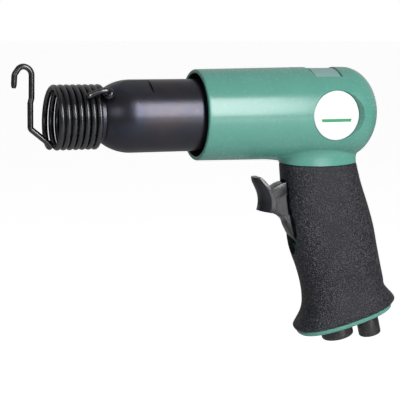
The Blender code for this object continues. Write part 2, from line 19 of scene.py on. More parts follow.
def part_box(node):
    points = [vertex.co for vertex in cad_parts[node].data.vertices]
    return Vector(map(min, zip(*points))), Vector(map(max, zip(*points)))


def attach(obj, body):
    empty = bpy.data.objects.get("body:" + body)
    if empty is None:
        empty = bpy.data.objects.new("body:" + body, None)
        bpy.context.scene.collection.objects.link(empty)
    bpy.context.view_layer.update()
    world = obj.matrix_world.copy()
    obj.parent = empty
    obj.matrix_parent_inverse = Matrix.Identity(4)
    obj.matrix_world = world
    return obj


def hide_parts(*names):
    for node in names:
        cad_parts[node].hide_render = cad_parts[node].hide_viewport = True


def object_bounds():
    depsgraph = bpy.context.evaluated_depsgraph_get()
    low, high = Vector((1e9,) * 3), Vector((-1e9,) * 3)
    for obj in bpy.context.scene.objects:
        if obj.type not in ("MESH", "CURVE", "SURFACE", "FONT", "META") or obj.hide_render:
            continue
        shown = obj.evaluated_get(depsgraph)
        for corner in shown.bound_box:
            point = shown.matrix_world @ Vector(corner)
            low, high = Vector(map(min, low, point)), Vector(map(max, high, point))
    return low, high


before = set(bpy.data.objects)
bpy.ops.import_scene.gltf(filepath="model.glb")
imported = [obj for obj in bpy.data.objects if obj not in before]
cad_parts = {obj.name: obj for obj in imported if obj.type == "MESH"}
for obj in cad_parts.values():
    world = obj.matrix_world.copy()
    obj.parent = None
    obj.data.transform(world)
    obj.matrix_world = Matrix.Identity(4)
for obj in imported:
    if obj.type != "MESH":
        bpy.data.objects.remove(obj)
CAD_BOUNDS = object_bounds()

MM = 0.001
BARREL_FRONT = -69.0
LABEL_X = 71.6
INLET_BACK = -9.5
REGULATOR_BACK = 9.8
X_AXIS = Vector((1.0, 0.0, 0.0))
Y_AXIS = Vector((0.0, 1.0, 0.0))
Z_AXIS = Vector((0.0, 0.0, 1.0))
LOG = logging.getLogger("rivet_gun")

Value = Vector | float
Point2 = tuple[float, float]
Point3 = tuple[float, float, float]
Station = tuple[float, float, float, float, float]
Colour = tuple[float, float, float]


def tool_origin() -> Vector:
    """Return the tool frame's origin in metres, found from the barrel's box."""
    low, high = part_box("barrel")
    return Vector((low.x - BARREL_FRONT * MM, (low.y + high.y) / 2, (low.z + high.z) / 2))


ORIGIN = tool_origin()


def place(point: Vector) -> Vector:
    """Return a tool-frame point in metres in the row frame."""
    return ORIGIN + point * MM


class Body(Enum):
    """The moving groups that a piece can ride on."""

    BODY = "body"
    RETAINER = "retainer"
    TRIGGER = "trigger"
    REGULATOR = "regulator"


class Side(Enum):
    """The two sides of the tool, as the sign of y."""

    LEFT = -1.0
    RIGHT = 1.0


class Joining(Enum):
    """How a second solid changes the first."""

    ADD = "UNION"
    CUT = "DIFFERENCE"


# ---------------------------------------------------------------- curves and outlines


def spline_value(before: Value, start: Value, end: Value, after: Value, u: float) -> Value:
    """Read a Catmull-Rom curve at a share u of the way from start to end."""
    bend = (2 * before - 5 * start + 4 * end - after) * u**2
    cubic = (3 * start - before - 3 * end + after) * u**3
    return 0.5 * (2 * start + (end - before) * u + bend + cubic)


def smooth_path(points: Sequence[Vector], step: float) -> list[Vector]:
    """Read a Catmull-Rom curve through points.

    Args:
        points: The points that the curve runs through.
        step: The distance between readings.

    Returns:
        The readings, ending with the last point.
    """
    padded = [points[0] * 2 - points[1], *points, points[-1] * 2 - points[-2]]
    found: list[Vector] = []
    for before, start, end, after in zip(padded, padded[1:], padded[2:], padded[3:]):
        count = max(1, round((end - start).length / step))
        found += [spline_value(before, start, end, after, i / count) for i in range(count)]
    found.append(points[-1])
    return found


def rounded(corners: Sequence[tuple[float, float, float]], steps: int = 5) -> list[Point2]:
    """Round the corners of an open outline.

    Args:
        corners: Points as (first, second, radius); a radius of 0 keeps the corner.
        steps: Pieces in each rounding.

    Returns:
        The outline with an arc in place of each rounded corner.
    """
    outline: list[Point2] = []
    for i, (a, b, radius) in enumerate(corners):
        here = Vector((a, b))
        if radius <= 0.0 or i in (0, len(corners) - 1):
            outline.append((a, b))
            continue
        before = (Vector(corners[i - 1][:2]) - here).normalized()
        after = (Vector(corners[i + 1][:2]) - here).normalized()
        half = before.angle(after) / 2
        reach = radius / math.tan(half)
        centre = here + (before + after).normalized() * (radius / math.sin(half))
        start = here + before * reach - centre
        end = here + after * reach - centre
        turn = start.angle_signed(end)
        for k in range(steps + 1):
            spoke = start.copy()
            spoke.rotate(Matrix.Rotation(-turn * k / steps, 2))
            outline.append(tuple(centre + spoke))
    return outline


# ---------------------------------------------------------------- mesh helpers


def ring(bm: bmesh.types.BMesh, points: Sequence[Vector]) -> list[bmesh.types.BMVert]:
    """Start a ring of vertices from a circle and move them to the points given."""
    made = bmesh.ops.create_circle(bm, cap_ends=False, radius=1.0, segments=len(points))["verts"]
    for vert, point in zip(made, points):
        vert.co = point
    return made


def ring_edges(verts: Sequence[bmesh.types.BMVert]) -> list[bmesh.types.BMEdge]:
    """Return the edges between neighbours of a ring."""
    members = set(verts)
    return list({e for v in verts for e in v.link_edges if e.other_vert(v) in members})


def drawn_on(
    bm: bmesh.types.BMesh, verts: Sequence[bmesh.types.BMVert], points: Sequence[Vector]
) -> list[bmesh.types.BMVert]:
    """Extrude a ring and move the new ring to the points given.

    Args:
        bm: The mesh.
        verts: The ring to extrude.
        points: Where the new ring's vertices go, in the same order.

    Returns:
        The new ring.
    """
    out = bmesh.ops.extrude_edge_only(bm, edges=ring_edges(verts))["geom"]
    fresh = {g for g in out if isinstance(g, bmesh.types.BMVert)}
    ordered = []
    for vert, point in zip(verts, points):
        twin = next(e.other_vert(vert) for e in vert.link_edges if e.other_vert(vert) in fresh)
        twin.co = point
        ordered.append(twin)
    return ordered


def loft(rings: Sequence[Sequence[Vector]], closed: bool = False) -> bmesh.types.BMesh:
    """Skin a stack of rings.

    Args:
        rings: Rings of equal counts.
        closed: Joins the last ring to the first instead of capping both.

    Returns:
        The closed body.
    """
    bm = bmesh.new()
    first = ring(bm, rings[0])
    current = first
    for points in rings[1:]:
        current = drawn_on(bm, current, points)
    if closed:
        bmesh.ops.bridge_loops(bm, edges=ring_edges(current) + ring_edges(first))
    else:
        bmesh.ops.contextual_create(bm, geom=ring_edges(first))
        bmesh.ops.contextual_create(bm, geom=ring_edges(current))
    return bm


def stand(base: Vector, axis: Vector) -> Matrix:
    """Return the matrix that stands local z on an axis through a base point."""
    turn = Z_AXIS.rotation_difference(axis.normalized()).to_matrix().to_4x4()
    return Matrix.Translation(base) @ turn


def turned(profile: Sequence[Point2], base: Vector, axis: Vector, segments: int) -> bmesh.types.BMesh:
    """Spin a closed profile into a solid.

    Args:
        profile: Points as (distance along the axis, radius).
        base: The point that distances start from.
        axis: The direction of the axis.
        segments: Steps in the full turn.

    Returns:
        The turned body.
    """
    bm = bmesh.new()
    corners = [bm.verts.new((radius, 0.0, along)) for along, radius in profile]
    edges = [bm.edges.new(pair) for pair in zip(corners, corners[1:] + corners[:1])]
    bmesh.ops.spin(
        bm,
        geom=corners + edges,
        cent=(0.0, 0.0, 0.0),
        axis=(0.0, 0.0, 1.0),
        angle=2 * math.pi,
        steps=segments,
        use_merge=True,
    )
    bmesh.ops.remove_doubles(bm, verts=bm.verts, dist=1e-4)
    loose = [e for e in bm.edges if not e.link_faces]
    bmesh.ops.delete(bm, geom=loose, context="EDGES")
    bmesh.ops.transform(bm, matrix=stand(base, axis), verts=bm.verts)
    return bm


def plate(outline: Sequence[Point2], half: float, bevel: float = 0.0) -> bmesh.types.BMesh:
    """Carry an (x, z) outline from -half to +half in y, with bevelled long edges.

    Args:
        outline: The outline's points in order.
        half: Half of the thickness.
        bevel: The width of the bevel between the faces and the rim.

    Returns:
        The plate.
    """
    bm = loft([[Vector((x, y, z)) for x, z in outline] for y in (-half, half)])
    if bevel > 0.0:
        rims = [e for e in bm.edges if e.calc_face_angle(0.0) > math.radians(60)]
        along = [e for e in rims if abs(e.verts[0].co.y - e.verts[1].co.y) < 1e-6]
        bmesh.ops.bevel(
            bm,
            geom=along,
            offset=bevel,
            offset_type="OFFSET",
            segments=3,
            profile=0.5,
            affect="EDGES",
            material=-1,
        )
    return bm


def swept(path: Sequence[Vector], radii: Sequence[float], sides: int = 16) -> bmesh.types.BMesh:
    """Sweep a round section along a path without twisting it.

    Args:
        path: The centre line.
        radii: The section's radius at each point of the path.
        sides: Vertices round the section.

    Returns:
        The swept body with capped ends.
    """
    tangents = []
    for i in range(len(path)):
        before = path[max(i - 1, 0)]
        after = path[min(i + 1, len(path) - 1)]
        tangents.append((after - before).normalized())
    across = tangents[0].orthogonal().normalized()
    rings = []
    for i, (centre, radius) in enumerate(zip(path, radii)):
        if i:
            across = tangents[i - 1].rotation_difference(tangents[i]) @ across
        other = tangents[i].cross(across)
        turns = [2 * math.pi * k / sides for k in range(sides)]
        rings.append([centre + (across * math.cos(t) + other * math.sin(t)) * radius for t in turns])
    return loft(rings)


def block(size: Point3, stance: Matrix) -> bmesh.types.BMesh:
    """Return a box of a size, moved from the origin by a matrix."""
    bm = bmesh.new()
    bmesh.ops.create_cube(bm, size=1.0)
    bmesh.ops.scale(bm, vec=size, verts=bm.verts)
    bmesh.ops.transform(bm, matrix=stance, verts=bm.verts)
    return bm


def curved_slab(
    ends: Sequence[Point2], half_angle: float, radii: Point2, steps: int, flare: float = 1.0
) -> bmesh.types.BMesh:
    """Make a piece of a round shell about the barrel's axis, centred on the top.

    Args:
        ends: Each end's x inside and outside.
        half_angle: Half of its angle in degrees.
        radii: The inner and the outer radius.
        steps: Faces round the arc.
        flare: The outside's angle as a multiple of the inside's.

    Returns:
        The slab.
    """
    half = math.radians(half_angle)
    angles = [-half + 2 * half * i / steps for i in range(steps + 1)]
    low, high = radii
    rings = []
    for x_low, x_high in ends:
        under = [Vector((x_low, low * math.sin(a), low * math.cos(a))) for a in angles]
        wide = [a * flare for a in reversed(angles)]
        rings.append(under + [Vector((x_high, high * math.sin(a), high * math.cos(a))) for a in wide])
    return loft(rings)


def to_object(bm: bmesh.types.BMesh, name: str) -> bpy.types.Object:
    """Turn a mesh in metres, which is used up, into an object in the scene."""
    mesh = bpy.data.meshes.new(name)
    bm.to_mesh(mesh)
    bm.free()
    made = bpy.data.objects.new(name, mesh)
    bpy.context.scene.collection.objects.link(made)
    return made


def joined(
    target: bmesh.types.BMesh, others: Iterable[tuple[Joining, bmesh.types.BMesh]]
) -> bmesh.types.BMesh:
    """Add solids to a body or cut them from it.

    Args:
        target: The body, in millimetres; it is used up.
        others: What to add or cut, in order; they are used up.

    Returns:
        The finished body, in millimetres.
    """
    holders = []

    def hold(bm: bmesh.types.BMesh, name: str) -> bpy.types.Object:
        """Put a mesh in a working object, scaled to metres."""
        bmesh.ops.scale(bm, vec=(MM, MM, MM), verts=bm.verts)
        bmesh.ops.recalc_face_normals(bm, faces=bm.faces)
        holders.append(to_object(bm, name))
        return holders[-1]

    main_holder = hold(target, "work")
    for how, other in others:
        change = main_holder.modifiers.new(how.name, "BOOLEAN")
        change.operation = how.value
        change.solver = "EXACT"
        change.object = hold(other, "work_other")
    bpy.context.view_layer.update()
    evaluated = main_holder.evaluated_get(bpy.context.evaluated_depsgraph_get())
    result = bpy.data.meshes.new_from_object(evaluated)
    bm = bmesh.new()
    bm.from_mesh(result)
    bmesh.ops.scale(bm, vec=(1 / MM, 1 / MM, 1 / MM), verts=bm.verts)
    for holder in holders:
        mesh = holder.data
        bpy.data.objects.remove(holder)
        bpy.data.meshes.remove(mesh)
    bpy.data.meshes.remove(result)
    return bm


def edge_values(bm: bmesh.types.BMesh, reach: float) -> dict[int, float]:
    """Rate how close each vertex is to a sharp outer edge.

    Args:
        bm: The body in millimetres.
        reach: The distance over which the rating falls to about a third.

    Returns:
        The rating from 0 to 1 by vertex index.
    """
    bm.verts.index_update()
    values = {v.index: 0.0 for v in bm.verts}
    for edge in bm.edges:
        if edge.is_manifold and edge.calc_face_angle_signed(0.0) > math.radians(28):
            for vert in edge.verts:
                values[vert.index] = 1.0
    for _ in range(3):
        for edge in bm.edges:
            a, b = (v.index for v in edge.verts)
            fade = math.exp(-edge.calc_length() / reach)
            values[a] = max(values[a], values[b] * fade)
            values[b] = max(values[b], values[a] * fade)
    return values


@dataclass
class Piece:
    """A visible piece that stands for a CAD node.

    Attributes:
        name: The piece's name.
        node: The CAD node that it replaces.
        body: The group it moves with.
        slot: The record's material slot; not used.
        materials: Its materials, in the order of its faces' material indices.
        smooth_angle: Edges sharper than this, in degrees, stay crisp.
        wear_reach: How far wear spreads from an edge, in millimetres.
    """

    name: str
    node: str
    body: Body
    slot: str
    materials: Sequence[bpy.types.Material]
    smooth_angle: float = 32.0
    wear_reach: float = 0.5

    def finish(
        self, bm: bmesh.types.BMesh, painted: Callable[[bmesh.types.BMFace], int] | None = None
    ) -> bpy.types.Object:
        """Turn a body in millimetres into the finished object.

        Args:
            bm: The body; it is used up.
            painted: Gives a face's material index; every face gets 0 without it.

        Returns:
            The object, riding on its group.
        """
        bmesh.ops.remove_doubles(bm, verts=bm.verts, dist=0.002)
        bmesh.ops.recalc_face_normals(bm, faces=bm.faces)
        if painted is not None:
            for face in bm.faces:
                face.material_index = painted(face)
        values = edge_values(bm, self.wear_reach)
        layer = bm.verts.layers.float.new("edge")
        for vert in bm.verts:
            vert[layer] = values[vert.index]
        bmesh.ops.scale(bm, vec=(MM, MM, MM), verts=bm.verts)
        bmesh.ops.translate(bm, vec=ORIGIN, verts=bm.verts)
        made = to_object(bm, self.name)
        mesh = made.data
        mesh.shade_smooth()
        mesh.set_sharp_from_angle(angle=math.radians(self.smooth_angle))
        for material in self.materials:
            mesh.materials.append(material)
        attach(made, self.body.value)
        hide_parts(self.node)
        LOG.info("%s: %d faces on %s", self.name, len(mesh.polygons), self.body.value)
        return made


# ---------------------------------------------------------------- finishes


class Sheet:
    """A node tree under construction, with short ways to add and join nodes."""

    def __init__(self, tree: bpy.types.NodeTree) -> None:
        """Keep the tree."""
        self.tree = tree

    def add(self, kind: str, **settings: object) -> bpy.types.Node:
        """Add a node and set its properties.

        Args:
            kind: The node's type without its ShaderNode prefix.
            **settings: Properties of the node.

        Returns:
            The node.
        """
        node = self.tree.nodes.new(f"ShaderNode{kind}")
        for name, value in settings.items():
            setattr(node, name, value)
        return node

    def join(self, source: bpy.types.NodeSocket, target: bpy.types.NodeSocket) -> None:
        """Link an output to an input."""
        self.tree.links.new(source, target)

    def feed(self, node: bpy.types.Node, **inputs: object) -> bpy.types.Node:
        """Set a node's inputs from numbers, colours or other nodes' outputs.

        Args:
            node: The node.
            **inputs: Values by input name, with _ for a space.

        Returns:
            The node.
        """
        for name, value in inputs.items():
            socket = node.inputs[name.replace("_", " ")]
            if isinstance(value, bpy.types.NodeSocket):
                self.join(value, socket)
            else:
                socket.default_value = value
        return node

    def noise(
        self,
        vector: bpy.types.NodeSocket,
        scale: bpy.types.NodeSocket | float,
        detail: float,
        roughness: float,
    ) -> bpy.types.NodeSocket:
        """Add a noise texture and return its value output."""
        made = self.add("TexNoise")
        self.feed(made, Vector=vector, Scale=scale, Detail=detail, Roughness=roughness)
        return made.outputs["Fac"]

    def remap(
        self, value: bpy.types.NodeSocket, source: Point2, target: Point2
    ) -> bpy.types.NodeSocket:
        """Map a value from one range to another, clamped, and return the output."""
        made = self.add("MapRange", clamp=True)
        low, high = source
        self.feed(made, Value=value, From_Min=low, From_Max=high, To_Min=target[0], To_Max=target[1])
        return made.outputs["Result"]

    def maths(
        self, operation: str, first: bpy.types.NodeSocket, second: bpy.types.NodeSocket | float
    ) -> bpy.types.NodeSocket:
        """Combine two values and return the output."""
        made = self.add("Math", operation=operation)
        self.join(first, made.inputs[0])
        if isinstance(second, bpy.types.NodeSocket):
            self.join(second, made.inputs[1])
        else:
            made.inputs[1].default_value = second
        return made.outputs["Value"]

    def blend(
        self,
        factor: bpy.types.NodeSocket,
        first: bpy.types.NodeSocket | Colour,
        second: bpy.types.NodeSocket | Colour,
    ) -> bpy.types.NodeSocket:
        """Mix two colours by a factor and return the output."""
        made = self.add("Mix", data_type="RGBA")
        self.join(factor, made.inputs["Factor"])
        for socket, colour in zip((made.inputs[6], made.inputs[7]), (first, second)):
            if isinstance(colour, bpy.types.NodeSocket):
                self.join(colour, socket)
            else:
                socket.default_value = (*colour, 1.0)
        return made.outputs[2]


def new_group(name: str, inputs: dict[str, str], outputs: dict[str, str]) -> tuple[Sheet, dict, dict]:
    """Start a shader node group.

    Args:
        name: The group's name.
        inputs: Socket types by input name.
        outputs: Socket types by output name.

    Returns:
        The group's sheet, its input sockets by name and its output sockets by name.
    """
    tree = bpy.data.node_groups.new(name, "ShaderNodeTree")
    for socket, kind in inputs.items():
        tree.interface.new_socket(name=socket, in_out="INPUT", socket_type=kind)
    for socket, kind in outputs.items():
        tree.interface.new_socket(name=socket, in_out="OUTPUT", socket_type=kind)
    entry = tree.nodes.new("NodeGroupInput")
    leaving = tree.nodes.new("NodeGroupOutput")
    found_in = {socket: entry.outputs[socket] for socket in inputs}
    found_out = {socket: leaving.inputs[socket] for socket in outputs}
    return Sheet(tree), found_in, found_out


FLOAT = "NodeSocketFloat"
VECTOR = "NodeSocketVector"
UNIT = (0.0, 1.0)
NOISE_SPAN = (0.3, 0.7)
STREAK_SPAN = (0.2, 1.8)


def make_mottle_group() -> bpy.types.NodeTree:
    """Build the shared slow variation over a surface, and return its group."""
    sheet, given, out = new_group(
        "slow_mottle", {"Vector": VECTOR, "Scale": FLOAT}, {"Value": FLOAT, "Fine": FLOAT}
    )
    broad = sheet.noise(given["Vector"], given["Scale"], 3.0, 0.55)
    sheet.join(sheet.remap(broad, NOISE_SPAN, UNIT), out["Value"])
    closer = sheet.noise(given["Vector"], sheet.maths("MULTIPLY", given["Scale"], 9.0), 4.0, 0.6)
    sheet.join(sheet.remap(closer, NOISE_SPAN, UNIT), out["Fine"])
    return sheet.tree


def make_wear_group() -> bpy.types.NodeTree:
    """Build the shared wear along edges, broken up by noise, and return its group."""
    sheet, given, out = new_group(
        "edge_wear",
        {"Vector": VECTOR, "Edge": FLOAT, "Scale": FLOAT, "Threshold": FLOAT},
        {"Mask": FLOAT},
    )
    chips = sheet.noise(given["Vector"], given["Scale"], 5.0, 0.65)
    broken = sheet.maths("MULTIPLY", given["Edge"], chips)
    above = sheet.maths("SUBTRACT", broken, given["Threshold"])
    sheet.join(sheet.remap(above, (0.0, 0.12), UNIT), out["Mask"])
    return sheet.tree


def make_pebble_group() -> bpy.types.NodeTree:
    """Build the shared pebble grain of moulded surfaces, and return its group."""
    sheet, given, out = new_group(
        "pebble_grain", {"Vector": VECTOR, "Scale": FLOAT}, {"Height": FLOAT, "Crown": FLOAT}
    )
    wander = sheet.noise(given["Vector"], sheet.maths("MULTIPLY", given["Scale"], 0.5), 2.0, 0.5)
    pebbles = sheet.add("TexVoronoi", feature="SMOOTH_F1")
    sheet.feed(pebbles, Vector=given["Vector"], Scale=given["Scale"], Smoothness=0.35)
    crown = sheet.remap(pebbles.outputs["Distance"], (0.15, 0.75), (1.0, 0.0))
    lifted = sheet.maths("MULTIPLY", crown, sheet.remap(wander, NOISE_SPAN, (0.35, 1.0)))
    sheet.join(lifted, out["Height"])
    sheet.join(sheet.remap(lifted, (0.22, 0.62), UNIT), out["Crown"])
    return sheet.tree


def make_streak_group() -> bpy.types.NodeTree:
    """Build the shared turning marks, rings about the barrel's axis, and return their group."""
    sheet, given, out = new_group("turning_marks", {"Vector": VECTOR, "Scale": FLOAT}, {"Value": FLOAT})
    squeeze = sheet.add("Mapping", vector_type="POINT")
    sheet.feed(squeeze, Vector=given["Vector"], Scale=(1.0, 0.02, 0.02))
    rings = sheet.noise(squeeze.outputs["Vector"], given["Scale"], 4.0, 0.7)
    sheet.join(sheet.remap(rings, NOISE_SPAN, UNIT), out["Value"])
    return sheet.tree


@dataclass
class Effects:
    """The shared node groups, built once."""

    mottle: bpy.types.NodeTree = field(default_factory=make_mottle_group)
    wear: bpy.types.NodeTree = field(default_factory=make_wear_group)
    pebble: bpy.types.NodeTree = field(default_factory=make_pebble_group)
    streak: bpy.types.NodeTree = field(default_factory=make_streak_group)


class Finish:
    """What every finish has: a new material's sheet, its shader and its coordinates."""

    name: str

    def start(self) -> tuple[bpy.types.Material, Sheet, bpy.types.Node, bpy.types.NodeSocket]:
        """Start the material.

        Returns:
            The material, its sheet, its Principled shader and its Object coordinates.
        """
        material = bpy.data.materials.new(self.name)
        material.use_nodes = True
        sheet = Sheet(material.node_tree)
        shader = material.node_tree.nodes["Principled BSDF"]
        coordinates = sheet.add("TexCoord").outputs["Object"]
        return material, sheet, shader, coordinates

    @staticmethod
    def use(
        sheet: Sheet, group: bpy.types.NodeTree, vector: bpy.types.NodeSocket, **inputs: object
    ) -> bpy.types.Node:
        """Place a shared effect.

        Args:
            sheet: The material's sheet.
            group: The effect.
            vector: The coordinates.
            **inputs: The effect's other inputs.

        Returns:
            The group node.
        """
        node = sheet.add("Group", node_tree=group)
        return sheet.feed(node, Vector=vector, **inputs)

    def worn_mask(
        self,
        sheet: Sheet,
        effects: Effects,
        vector: bpy.types.NodeSocket,
        scale: float,
        threshold: float,
    ) -> bpy.types.NodeSocket:
        """Place the wear along edges.

        Args:
            sheet: The material's sheet.
            effects: The shared effects.
            vector: The coordinates.
            scale: Chips per metre.
            threshold: Lower means more wear.

        Returns:
            The wear's mask.
        """
        edge = sheet.add("Attribute", attribute_name="edge").outputs["Fac"]
        wear = self.use(sheet, effects.wear, vector, Edge=edge, Scale=scale, Threshold=threshold)
        return wear.outputs["Mask"]

    @staticmethod
    def bump(
        sheet: Sheet,
        shader: bpy.types.Node,
        layers: Sequence[tuple[bpy.types.NodeSocket, float, float]],
        rounding: float = 0.0,
    ) -> None:
        """Chain bump layers into the shader's normal.

        Args:
            sheet: The material's sheet.
            shader: The Principled shader.
            layers: Each layer's height output, strength and depth in millimetres.
            rounding: The radius in millimetres by which crisp edges are softened.
        """
        normal: bpy.types.NodeSocket | None = None
        if rounding > 0.0:
            softened = sheet.add("Bevel", samples=4)
            softened.inputs["Radius"].default_value = rounding * MM
            normal = softened.outputs["Normal"]
        for height, strength, depth in layers:
            layer = sheet.add("Bump")
            sheet.feed(layer, Height=height, Strength=strength, Distance=depth * MM)
            if normal is not None:
                sheet.join(normal, layer.inputs["Normal"])
            normal = layer.outputs["Normal"]
        if normal is not None:
            sheet.join(normal, shader.inputs["Normal"])


@dataclass(frozen=True)
class Enamel(Finish):
    """Gloss enamel over a casting, worn thin on its edges.

    Attributes:
        name: The material's name.
        colour: The enamel's main colour.
        deep: Its colour where it is thicker.
        bare: The metal under it.
    """

    name: str
    colour: Colour
    deep: Colour
    bare: Colour

    def build(self, effects: Effects) -> bpy.types.Material:
        """Build the material from the shared effects."""
        material, sheet, shader, vector = self.start()
        mottle = self.use(sheet, effects.mottle, vector, Scale=70.0)
        worn = self.worn_mask(sheet, effects, vector, 900.0, 0.74)
        paint = sheet.blend(mottle.outputs["Value"], self.colour, self.deep)
        sheet.join(sheet.blend(worn, paint, self.bare), shader.inputs["Base Color"])
        gloss = sheet.remap(mottle.outputs["Fine"], UNIT, (0.235, 0.285))
        sheet.join(sheet.maths("ADD", gloss, sheet.maths("MULTIPLY", worn, 0.12)), shader.inputs["Roughness"])
        sheet.join(worn, shader.inputs["Metallic"])
        sheet.feed(shader, Coat_Weight=0.15, Coat_Roughness=0.14)
        peel = sheet.noise(vector, 620.0, 2.0, 0.5)
        self.bump(sheet, shader, [(peel, 0.06, 0.08)])
        return material


@dataclass(frozen=True)
class BlackedSteel(Finish):
    """Turned steel with a thin black or blued surface that rubs through on edges.

    Attributes:
        name: The material's name.
        cool: The bluish tint.
        warm: The brownish tint.
        bare: The steel where it is rubbed.
        gloss: The range of roughness.
        metallic: How metallic the skin looks.
        marks: Cycles per metre of the turning marks.
        threshold: Lower means more wear.
        sheen: The strength of the oil film's reflections.
        grit_glint_specks: How strongly pale specks are painted into the colour: partly the grit's own paler
            grains, partly painted glints that stand in for its sparkle.
    """

    name: str
    cool: Colour
    warm: Colour
    bare: Colour
    gloss: Point2
    metallic: float
    marks: float = 2500.0
    threshold: float = 0.5
    sheen: float = 0.5
    grit_glint_specks: float = 0.0

    def build(self, effects: Effects) -> bpy.types.Material:
        """Build the material from the shared effects."""
        material, sheet, shader, vector = self.start()
        mottle = self.use(sheet, effects.mottle, vector, Scale=55.0)
        marks = self.use(sheet, effects.streak, vector, Scale=self.marks).outputs["Value"]
        worn = self.worn_mask(sheet, effects, vector, 1300.0, self.threshold)
        tint = sheet.blend(mottle.outputs["Value"], self.cool, self.warm)
        if self.grit_glint_specks > 0.0:
            # Pale specks painted into the colour: partly the grit's own paler grains, partly painted glints
            # for its sparkle.
            grit_and_glints = sheet.remap(sheet.noise(vector, 1500.0, 3.0, 0.7), (0.56, 0.68), (0.0, self.grit_glint_specks))
            tint = sheet.blend(grit_and_glints, tint, (1.0, 0.97, 0.95))
        sheet.join(sheet.blend(worn, tint, self.bare), shader.inputs["Base Color"])
        streaked = sheet.maths("ADD", mottle.outputs["Fine"], marks)
        sheet.join(sheet.remap(streaked, STREAK_SPAN, self.gloss), shader.inputs["Roughness"])
        sheet.join(sheet.remap(worn, UNIT, (self.metallic, 1.0)), shader.inputs["Metallic"])
        shader.inputs["Specular IOR Level"].default_value = self.sheen
        pits = sheet.noise(vector, 3800.0, 3.0, 0.6)
        self.bump(sheet, shader, [(marks, 0.10, 0.02), (pits, 0.16, 0.05)], rounding=0.25)
        return material


@dataclass(frozen=True)
class PebbledRubber(Finish):
    """Moulded rubber with a fine pebble grain and a paler colour painted on its crowns as their highlight.

    Attributes:
        name: The material's name.
        colour: The rubber's colour.
        crown: The painted highlight colour on the pebbles' crowns.
        grain: Pebbles per metre.
    """

    name: str
    colour: Colour
    crown: Colour
    grain: float

    def build(self, effects: Effects) -> bpy.types.Material:
        """Build the material from the shared effects."""
        material, sheet, shader, vector = self.start()
        pebble = self.use(sheet, effects.pebble, vector, Scale=self.grain)
        mottle = self.use(sheet, effects.mottle, vector, Scale=90.0)
        # The crowns get a painted highlight colour, broken into patches by the slow mottle.
        highlight_patches = sheet.remap(mottle.outputs["Value"], UNIT, (0.55, 1.0))
        share = sheet.maths("MULTIPLY", pebble.outputs["Crown"], highlight_patches)
        sheet.join(sheet.blend(share, self.colour, self.crown), shader.inputs["Base Color"])
        sheet.join(sheet.remap(share, UNIT, (0.5, 0.33)), shader.inputs["Roughness"])
        fine = sheet.noise(vector, 4200.0, 2.0, 0.6)
        layers = [(pebble.outputs["Height"], 1.0, 0.42), (fine, 0.35, 0.06)]
        self.bump(sheet, shader, layers, rounding=0.4)
        return material


@dataclass(frozen=True)
class Moulded(Finish):
    """Smooth black moulding or casting with a light grain.

    Attributes:
        name: The material's name.
        colour: The main colour.
        rubbed: The colour of rubbed edges.
        gloss: The range of roughness.
        grain: Grains per metre.
        relief: The strength of the grain.
    """

    name: str
    colour: Colour
    rubbed: Colour
    gloss: Point2
    grain: float
    relief: float

    def build(self, effects: Effects) -> bpy.types.Material:
        """Build the material from the shared effects."""
        material, sheet, shader, vector = self.start()
        mottle = self.use(sheet, effects.mottle, vector, Scale=120.0)
        lifted = sheet.maths("MULTIPLY", self.worn_mask(sheet, effects, vector, 1500.0, 0.48), 0.7)
        sheet.join(sheet.blend(lifted, self.colour, self.rubbed), shader.inputs["Base Color"])
        sheet.join(sheet.remap(mottle.outputs["Fine"], UNIT, self.gloss), shader.inputs["Roughness"])
        pebble = self.use(sheet, effects.pebble, vector, Scale=self.grain)
        self.bump(sheet, shader, [(pebble.outputs["Height"], self.relief, 0.08)], rounding=0.35)
        return material


@dataclass(frozen=True)
class TurnedMetal(Finish):
    """Bare turned or ground metal for the inner parts.

    Attributes:
        name: The material's name.
        colour: The metal's colour.
        tarnish: Its colour where it has dulled.
        gloss: The range of roughness.
    """

    name: str
    colour: Colour
    tarnish: Colour
    gloss: Point2

    def build(self, effects: Effects) -> bpy.types.Material:
        """Build the material from the shared effects."""
        material, sheet, shader, vector = self.start()
        mottle = self.use(sheet, effects.mottle, vector, Scale=160.0)
        marks = self.use(sheet, effects.streak, vector, Scale=4200.0).outputs["Value"]
        tint = sheet.blend(mottle.outputs["Value"], self.colour, self.tarnish)
        sheet.join(tint, shader.inputs["Base Color"])
        streaked = sheet.maths("ADD", mottle.outputs["Fine"], marks)
        sheet.join(sheet.remap(streaked, STREAK_SPAN, self.gloss), shader.inputs["Roughness"])
        shader.inputs["Metallic"].default_value = 1.0
        self.bump(sheet, shader, [(marks, 0.2, 0.03)])
        return material


